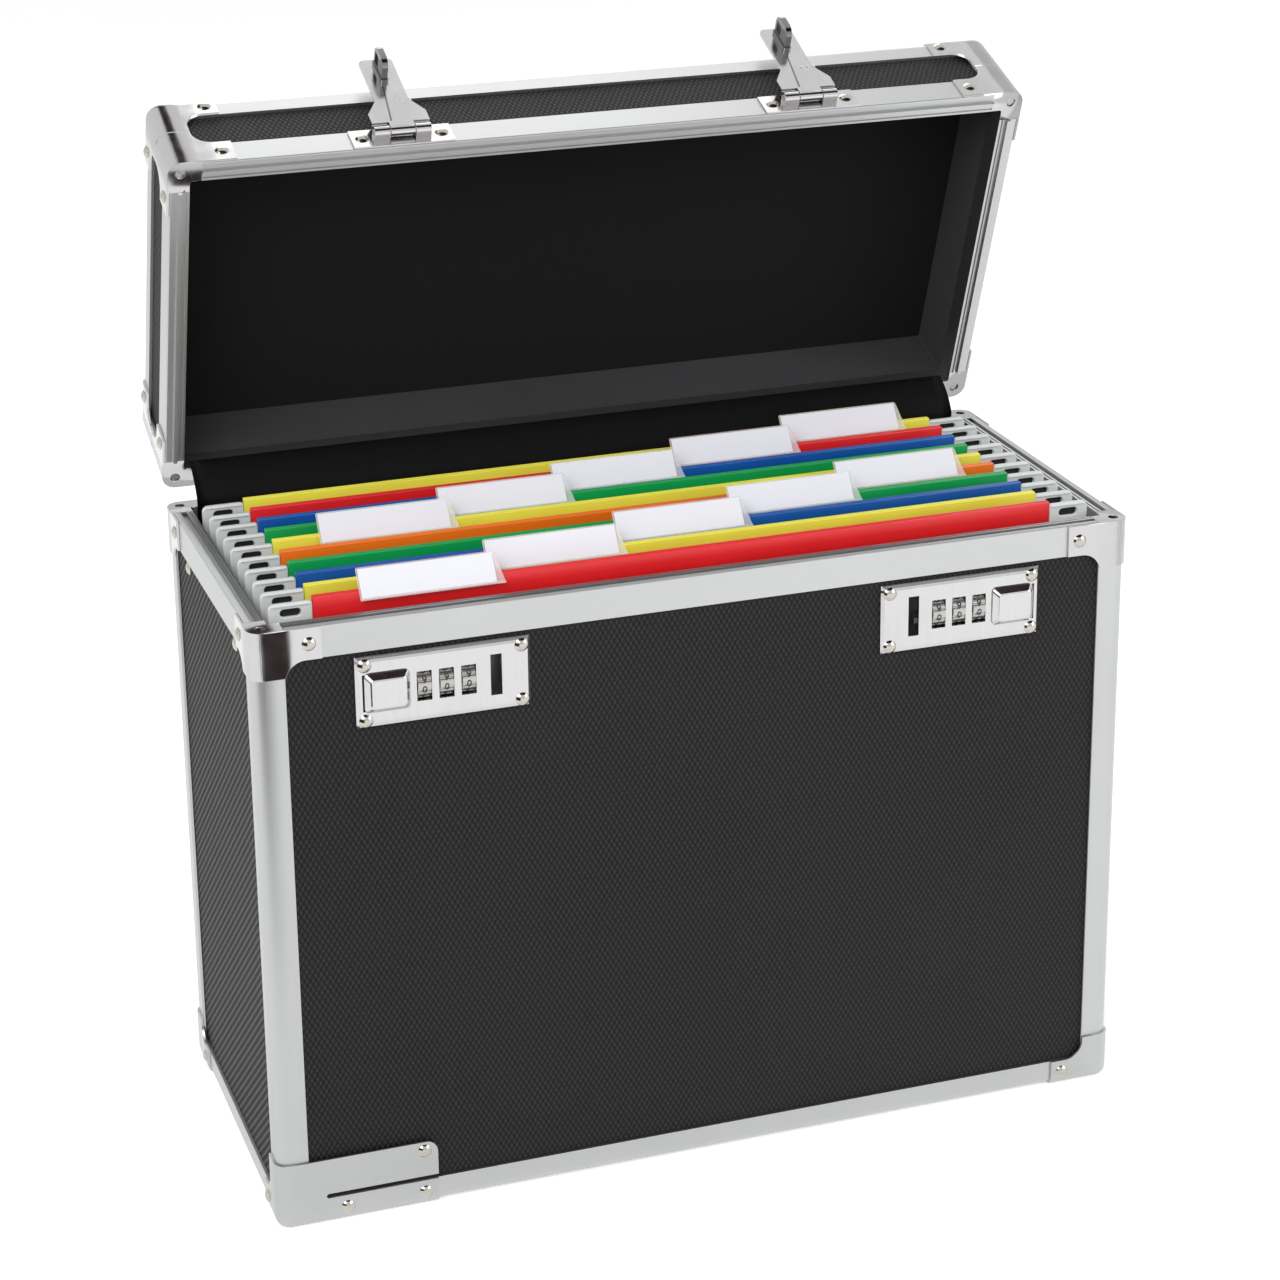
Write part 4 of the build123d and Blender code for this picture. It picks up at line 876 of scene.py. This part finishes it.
# %% Plates, buttons and dials
SIDES = (("left", -1), ("right", 1))
worked("lock_plates", "box", lock_plate, 0.40, "chrome")
for side, _ in SIDES:
    worked(f"{side}_lock_button", f"{side}_lock_button", bright_plate, 0.45, "chrome")
    for number in (1, 2, 3):
        worked(f"{side}_dial_{number}", f"{side}_dial_{number}", dial_metal, 0.12, "dial_metal")
print("buttons:", len(SIDES))

# %% [markdown]
# Each button gets a cap with sloping sides that hides its opening. Four rounded rings, each
# further out and smaller than the one before, give the slope.

# %% Caps on the buttons
BUTTON_X, BUTTON_FOOT, BUTTON_FACE = 131.75, -80.95, -83.95
BUTTON_RINGS = [
    (9.2, 8.2, BUTTON_FOOT, 2.0),
    (9.1, 8.1, BUTTON_FOOT - 0.4, 2.0),
    (7.2, 6.2, BUTTON_FACE + 0.25, 1.8),
    (6.6, 5.6, BUTTON_FACE, 1.6),
]


def button_cap(side, sign):
    """A hollow-looking cap, wider than its opening, with sloping sides."""
    middle, shape, rings = sign * BUTTON_X, bmesh.new(), []
    for half_x, half_z, y, radius in BUTTON_RINGS:
        low, high = (middle - half_x, LOCK_LEVEL - half_z), (middle + half_x, LOCK_LEVEL + half_z)
        ring = box_outline(*low, *high, radius)
        rings.append([shape.verts.new(Vector((x, y, z)) * MM) for x, z in ring])
    skinned(shape, rings, closed=True)
    shape.faces.new(rings[-1])
    shape.faces.new(rings[0][::-1])
    bmesh.ops.recalc_face_normals(shape, faces=shape.faces[:])
    piece = new_piece(f"{side}_button_cap", mesh_from(shape, "button_cap"), bright_plate)
    return settled(soft_edges(piece, 0.25, sharp=20), f"{side}_lock_button", [], "chrome")


for side, sign in SIDES:
    button_cap(side, sign)
print("button caps stand out", BUTTON_FOOT - BUTTON_FACE, "mm")

# %% [markdown]
# The numbers are ten small flat figures around each dial, upright where they pass the window. Each
# is laid flat, moved out to the dial's face and turned about the axle.

# %% Numbers on the dials
FIGURE_SIZE, FIGURE_THICK, FIGURE_BOLD = 4.4, 0.04, 0.02
FIGURE_STEP, FIGURE_START = 36, 14
DIAL_RADIUS, AXLE = 6.5, Vector((0, -75.1, LOCK_LEVEL)) * MM


def figure(text):
    """A flat figure as a mesh, centred, in metres."""
    font = bpy.data.curves.new("figure", "FONT")
    font.body, font.size, font.extrude = text, FIGURE_SIZE * MM, FIGURE_THICK * MM
    font.resolution_u, font.offset = 2, FIGURE_BOLD * MM
    font.align_x, font.align_y = "CENTER", "CENTER"
    return drawn("figure", font)


figures = [figure(str(value)) for value in range(10)]
out = Matrix.Translation((0, -DIAL_RADIUS * MM, 0)) @ FACES_FRONT
for dial in [f"{side}_dial_{number}" for side, _ in SIDES for number in (1, 2, 3)]:
    low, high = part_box(dial)
    middle = Matrix.Translation(AXLE + Vector(((low.x + high.x) / 2, 0, 0)))
    shape = bmesh.new()
    for value, mesh in enumerate(figures):
        turn = Matrix.Rotation(math.radians(FIGURE_STEP * value + FIGURE_START), 4, "X")
        copy = mesh.copy()
        copy.transform(middle @ turn @ out)
        shape.from_mesh(copy)
        bpy.data.meshes.remove(copy)
    piece = new_piece(f"{dial}_numbers", mesh_from(shape, "numbers"), digit_ink)
    settled(piece, dial, [], "dial_metal")
print("numbers on each dial:", len(figures))

# %% [markdown]
# ## Hasps
# Each hasp is a pressed plate that swings on the lid and carries a hook. Thrown back, it shows
# its inner face: three small dimples where the hook is staked, and a line where the plate was
# folded. The line's darkness is painted shade, a thin dark sheet laid along the fold.

# %% Hasps, hooks and bases
HASP_X, HASP_FACE, PROUD = 88.0, -81.1, 0.02
DIMPLE_FIRST, DIMPLE_STEP, DIMPLE_LEVEL, DIMPLE_RADIUS, DIMPLE_RISE = 2.2, 2.6, 246.0, 0.75, 0.3
DIMPLE_RINGS, DIMPLE_STEPS = [(1.0, 0.0), (0.62, 1.0), (0.35, 0.0)], 14
# The outline of the thin dark sheet that is painted shade along each hasp's fold.
FOLD_SHADE, FOLD_SHADE_THICK = [(-1.6, 236.0), (-0.9, 236.0), (-3.4, 259.5), (-4.2, 259.5)], 0.12


def dimple(middle):
    """A low ring on the inner face of a hasp."""
    shape, rings = bmesh.new(), []
    angles = [2 * math.pi * step / DIMPLE_STEPS for step in range(DIMPLE_STEPS)]
    for share, height in DIMPLE_RINGS:
        reach, y = DIMPLE_RADIUS * share, HASP_FACE + DIMPLE_RISE * height + PROUD
        ring = [(middle + reach * math.cos(a), y, DIMPLE_LEVEL + reach * math.sin(a)) for a in angles]
        rings.append([shape.verts.new(Vector(point) * MM) for point in ring])
    skinned(shape, rings, closed=True)
    shape.faces.new(rings[-1])
    return new_piece("dimple", mesh_from(shape, "dimple"), bright_plate)


worked("hasp_bases", "lid", bright_plate, 0.25, "chrome")
lie = Matrix.Translation((0, (HASP_FACE + PROUD) * MM, 0)) @ FACES_FRONT
for side, sign in SIDES:
    body, middle = f"{side}_hasp", sign * HASP_X
    worked(f"{side}_hasp", body, bright_plate, 0.30, "chrome")
    worked(f"{side}_hasp_hook", body, hook_plate_and_fold_shade, 0.35, "steel")
    dimples = [dimple(middle + DIMPLE_FIRST + DIMPLE_STEP * step) for step in range(3)]
    settled(joined(f"{side}_hasp_dimples", dimples), body, [], "chrome")
    # Painted shade: a thin dark sheet along the fold.
    fold = rounded([(middle + x, z) for x, z in FOLD_SHADE], 0.15, 3)
    fold_shade = cut_sheet(f"{side}_hasp_crease", fold, [], FOLD_SHADE_THICK, 0.03, lie, hook_plate_and_fold_shade)
    settled(fold_shade, body, [], "steel")
print("hasps:", len(SIDES), "dimples on each:", len(dimples))

# %% [markdown]
# ## Hinge cover
# Where the lid meets the body, a strip of leathercloth hides the gap. It is glued to the rear
# wall and to the lid, and bends between them, so it is one sheet that follows the body at its
# lower edge, the lid at its upper edge, and turns smoothly in between.

# %% The strip's line
COVER_FRONT, COVER_HALF, COVER_THICK = 70.7, 172.5, 0.72
WALL_FOOT, WALL_TOP, LID_FOOT, LID_TOP = 236.2, 258.0, 258.5, 260.4
STRAIGHT_STEPS, BEND_STEPS, BEND_LEAD = 8, 14, 4


def on_open_lid(y, z):
    """Where a point of the closed lid goes as the lid opens, across the hinge line."""
    point = LID_OPEN @ (Vector((0, y, z)) * MM)
    return Vector((point.y, point.z)) / MM


def cover_line():
    """The strip's middle line from the rear wall, over both rims, to the lid."""
    low, rim = Vector((COVER_FRONT, WALL_FOOT)), Vector((COVER_FRONT, WALL_TOP))
    edge, end = on_open_lid(COVER_FRONT, LID_FOOT), on_open_lid(COVER_FRONT, LID_TOP)
    ahead, behind = rim + Vector((0, BEND_LEAD)), edge - (end - edge).normalized() * BEND_LEAD
    points = [low.lerp(rim, step / STRAIGHT_STEPS) for step in range(STRAIGHT_STEPS)]
    for step in range(BEND_STEPS + 1):
        t = step / BEND_STEPS
        u = 1 - t
        points.append(u**3 * rim + 3 * u**2 * t * ahead + 3 * u * t * t * behind + t**3 * edge)
    return points + [edge.lerp(end, step / STRAIGHT_STEPS) for step in range(1, STRAIGHT_STEPS + 1)]


line = cover_line()
cover_length = sum((b - a).length for a, b in zip(line, line[1:]))
print("hinge strip is", round(cover_length, 1), "mm long")

# %% The strip
COVER_COLUMNS, RIPPLE = 60, 0.12
shape, rows = bmesh.new(), []
for index, point in enumerate(line):
    row = []
    for column in range(COVER_COLUMNS + 1):
        x = -COVER_HALF + 2 * COVER_HALF * column / COVER_COLUMNS
        ripple = RIPPLE * noise.noise(Vector((x * 0.05, index * 0.3, 4.0)))
        row.append(shape.verts.new(Vector((x, point.x - ripple, point.y)) * MM))
    rows.append(row)
skinned(shape, rows)
bmesh.ops.solidify(shape, geom=shape.faces[:], thickness=COVER_THICK * MM)
hinge_strip = new_piece("hinge_strip", mesh_from(shape, "hinge_strip"), leathercloth)
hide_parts("hinge_cover")
start, end = line[STRAIGHT_STEPS - 1], line[STRAIGHT_STEPS + BEND_STEPS]
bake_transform(hinge_strip)
print("hinge strip has", len(rows), "rows of", len(rows[0]), "points")

# %% [markdown]
# ## Handle
# The handle on the lid is a moulded grip on two plated brackets. Its bar has shallow finger ribs,
# which are separate rounded bands here because they are moulded over the core.

# %% Handle and brackets
RIBS_EACH_WAY, RIB_STEP, RIB_WIDE, RIB_EDGE = 4, 8, 3.0, 0.6
RIB = box_outline(9.6, 303.6, 24.4, 313.4, 4.4, 6)
worked("handle_brackets", "lid", bright_plate, 0.25, "chrome")
worked("handle_grip", "handle", grip_black, 0.6, "grip_black")
bands = []
for step in range(-RIBS_EACH_WAY, RIBS_EACH_WAY + 1):
    lie = Matrix.Translation((step * RIB_STEP * MM, 0, 0)) @ FACES_SIDE
    bands.append(cut_sheet("band", RIB, [], RIB_WIDE, RIB_EDGE, lie, grip_black))
settled(joined("handle_ribs", bands), "handle", [], "grip_black")
print("handle ribs:", len(bands))

# %% [markdown]
# ## Stage, light and camera
# The case stands on a plain white floor in soft studio light. The floor and the background show
# white to the camera and in reflections, while the light on the case stays plain. So each asks
# what kind of ray has reached it, and glows more for a ray that will be seen.

# %% Floor
FLOOR_LEVEL, FLOOR_REACH, FLOOR_GLOW = -1.05, 4.0, 0.42


def flat_square(name, reach, finish):
    """A level square that reaches so many metres each way."""
    shape = bmesh.new()
    bmesh.ops.create_grid(shape, x_segments=2, y_segments=2, size=reach)
    return new_piece(name, mesh_from(shape, name), finish)


recipe = Recipe("studio_floor")
seen = recipe.node("ShaderNodeLightPath", output="Is Camera Ray")
seen = seen + recipe.node("ShaderNodeLightPath", output="Is Glossy Ray")
tone = recipe.blend(recipe.cloud(recipe.place(), 3.0, 2.0), grey(0.84), grey(0.86))
matt = recipe.node("ShaderNodeBsdfDiffuse", None, {"Color": tone})
glow = recipe.node("ShaderNodeEmission", None, {"Color": grey(1), "Strength": seen * FLOOR_GLOW})
both = recipe.node("ShaderNodeAddShader", None, {0: matt, 1: glow})
floor = flat_square("studio_floor", FLOOR_REACH, recipe.shown(both))
floor.location.z = FLOOR_LEVEL * MM
print("floor lies at", FLOOR_LEVEL, "mm")

# %% World
SKY_UNSEEN, SKY_SEEN = 0.62, 1.0
recipe = Recipe("studio", bpy.data.worlds)
seen = recipe.node("ShaderNodeLightPath", output="Is Camera Ray")
for kind in ("Is Glossy Ray", "Is Transmission Ray"):
    ray = recipe.node("ShaderNodeLightPath", output=kind)
    seen = recipe.node("ShaderNodeMath", {"operation": "MAXIMUM"}, {0: seen, 1: ray})
level = recipe.node("ShaderNodeMapRange", None, {"Value": seen, "To Min": SKY_UNSEEN, "To Max": SKY_SEEN})
sky = recipe.node("ShaderNodeBackground", None, {"Color": grey(1), "Strength": level})
recipe.node("ShaderNodeOutputWorld", None, {"Surface": sky})
bpy.context.scene.world = recipe.owner
print("nodes in the world:", len(recipe.tree.nodes))

# %% [markdown]
# ## Something for the plating to mirror
# Bright metal shows its surroundings, so an all-white studio would make it look like white
# plastic. Four dark cards give it dark bands along upper bevels and round the corners: one above
# the front, one beside it, one on the floor, and one behind for the open lid. They are seen only
# in reflections and take no light from the box.

# %% Dark cards
CARD_LOW, CARD_HIGH = paint(0.010, 0.006, 0.005), paint(0.045, 0.026, 0.022)


def dark_card(name, centre, width, height, tilt):
    """A card, sized and placed in metres and tilted in degrees."""
    recipe = Recipe(name)
    tone = recipe.blend(recipe.cloud(recipe.place(), 3.0, 2.0), CARD_LOW, CARD_HIGH)
    glow = recipe.node("ShaderNodeEmission", None, {"Color": tone})
    card = flat_square(name, 0.5, recipe.shown(glow))
    card.scale = (width, height, 1)
    card.location, card.rotation_euler = centre, tuple(math.radians(a) for a in tilt)
    card.visible_camera = card.visible_diffuse = card.visible_shadow = card.visible_transmission = False


CARDS = [
    ("card_above", (0.25, -0.62, 1.05), 1.6, 1.02, (0, 0, 0)),
    ("card_beside", (-0.60, -0.55, 0.17), 0.75, 0.32, (90, 0, -45)),
    ("card_on_floor", (-0.66, -0.68, 0.004), 0.74, 0.66, (0, 0, -20)),
    ("card_behind", (-0.78, 0.50, 1.10), 0.6, 0.8, (0, 0, 0)),
]
for row in CARDS:
    dark_card(*row)
print("dark cards:", len(CARDS))

# %% [markdown]
# ## Lamps and camera
# Three large square lamps, as soft boxes would be: a key from the left, a weaker fill from the
# right and a rim light from behind. The camera looks down on the front from the left, as a buyer
# would.

# %% Lamps
LAMPS = [
    ("key_light", (-1.2, -1.6, 1.7), (0, 0, 0.2), 1.4, 31),
    ("fill_light", (1.6, -1.3, 0.9), (0, 0, 0.2), 1.2, 12),
    ("back_light", (0.2, 1.5, 1.4), (0, 0, 0.3), 1.2, 8),
]
for name, place, aim, size, watts in LAMPS:
    lamp = bpy.data.lights.new(name, "AREA")
    lamp.shape, lamp.size, lamp.energy = "SQUARE", size, watts
    holder = linked(name, lamp)
    holder.location = place
    holder.rotation_euler = (Vector(aim) - Vector(place)).to_track_quat("-Z", "Y").to_euler()
print("lamps:", len(LAMPS))

# %% Camera
CAMERA_AT = (-0.40932, -1.19467, 0.70021)
RIGHT, UP, BACK = (0.94496, -0.32703, -0.01053), (0.11282, 0.29547, 0.94867), (-0.30713, -0.89764, 0.3161)
camera = bpy.data.cameras.new("camera")
camera.lens, camera.sensor_width, camera.shift_y = 90.57, 36.0, -0.1425
holder = linked("camera", camera)
holder.matrix_world = Matrix.Translation(CAMERA_AT) @ Matrix((RIGHT, UP, BACK)).transposed().to_4x4()
bpy.context.scene.camera = holder
bpy.context.scene.view_settings.view_transform = "Standard"
print("camera at", [round(v, 3) for v in holder.location])

# %% [markdown]
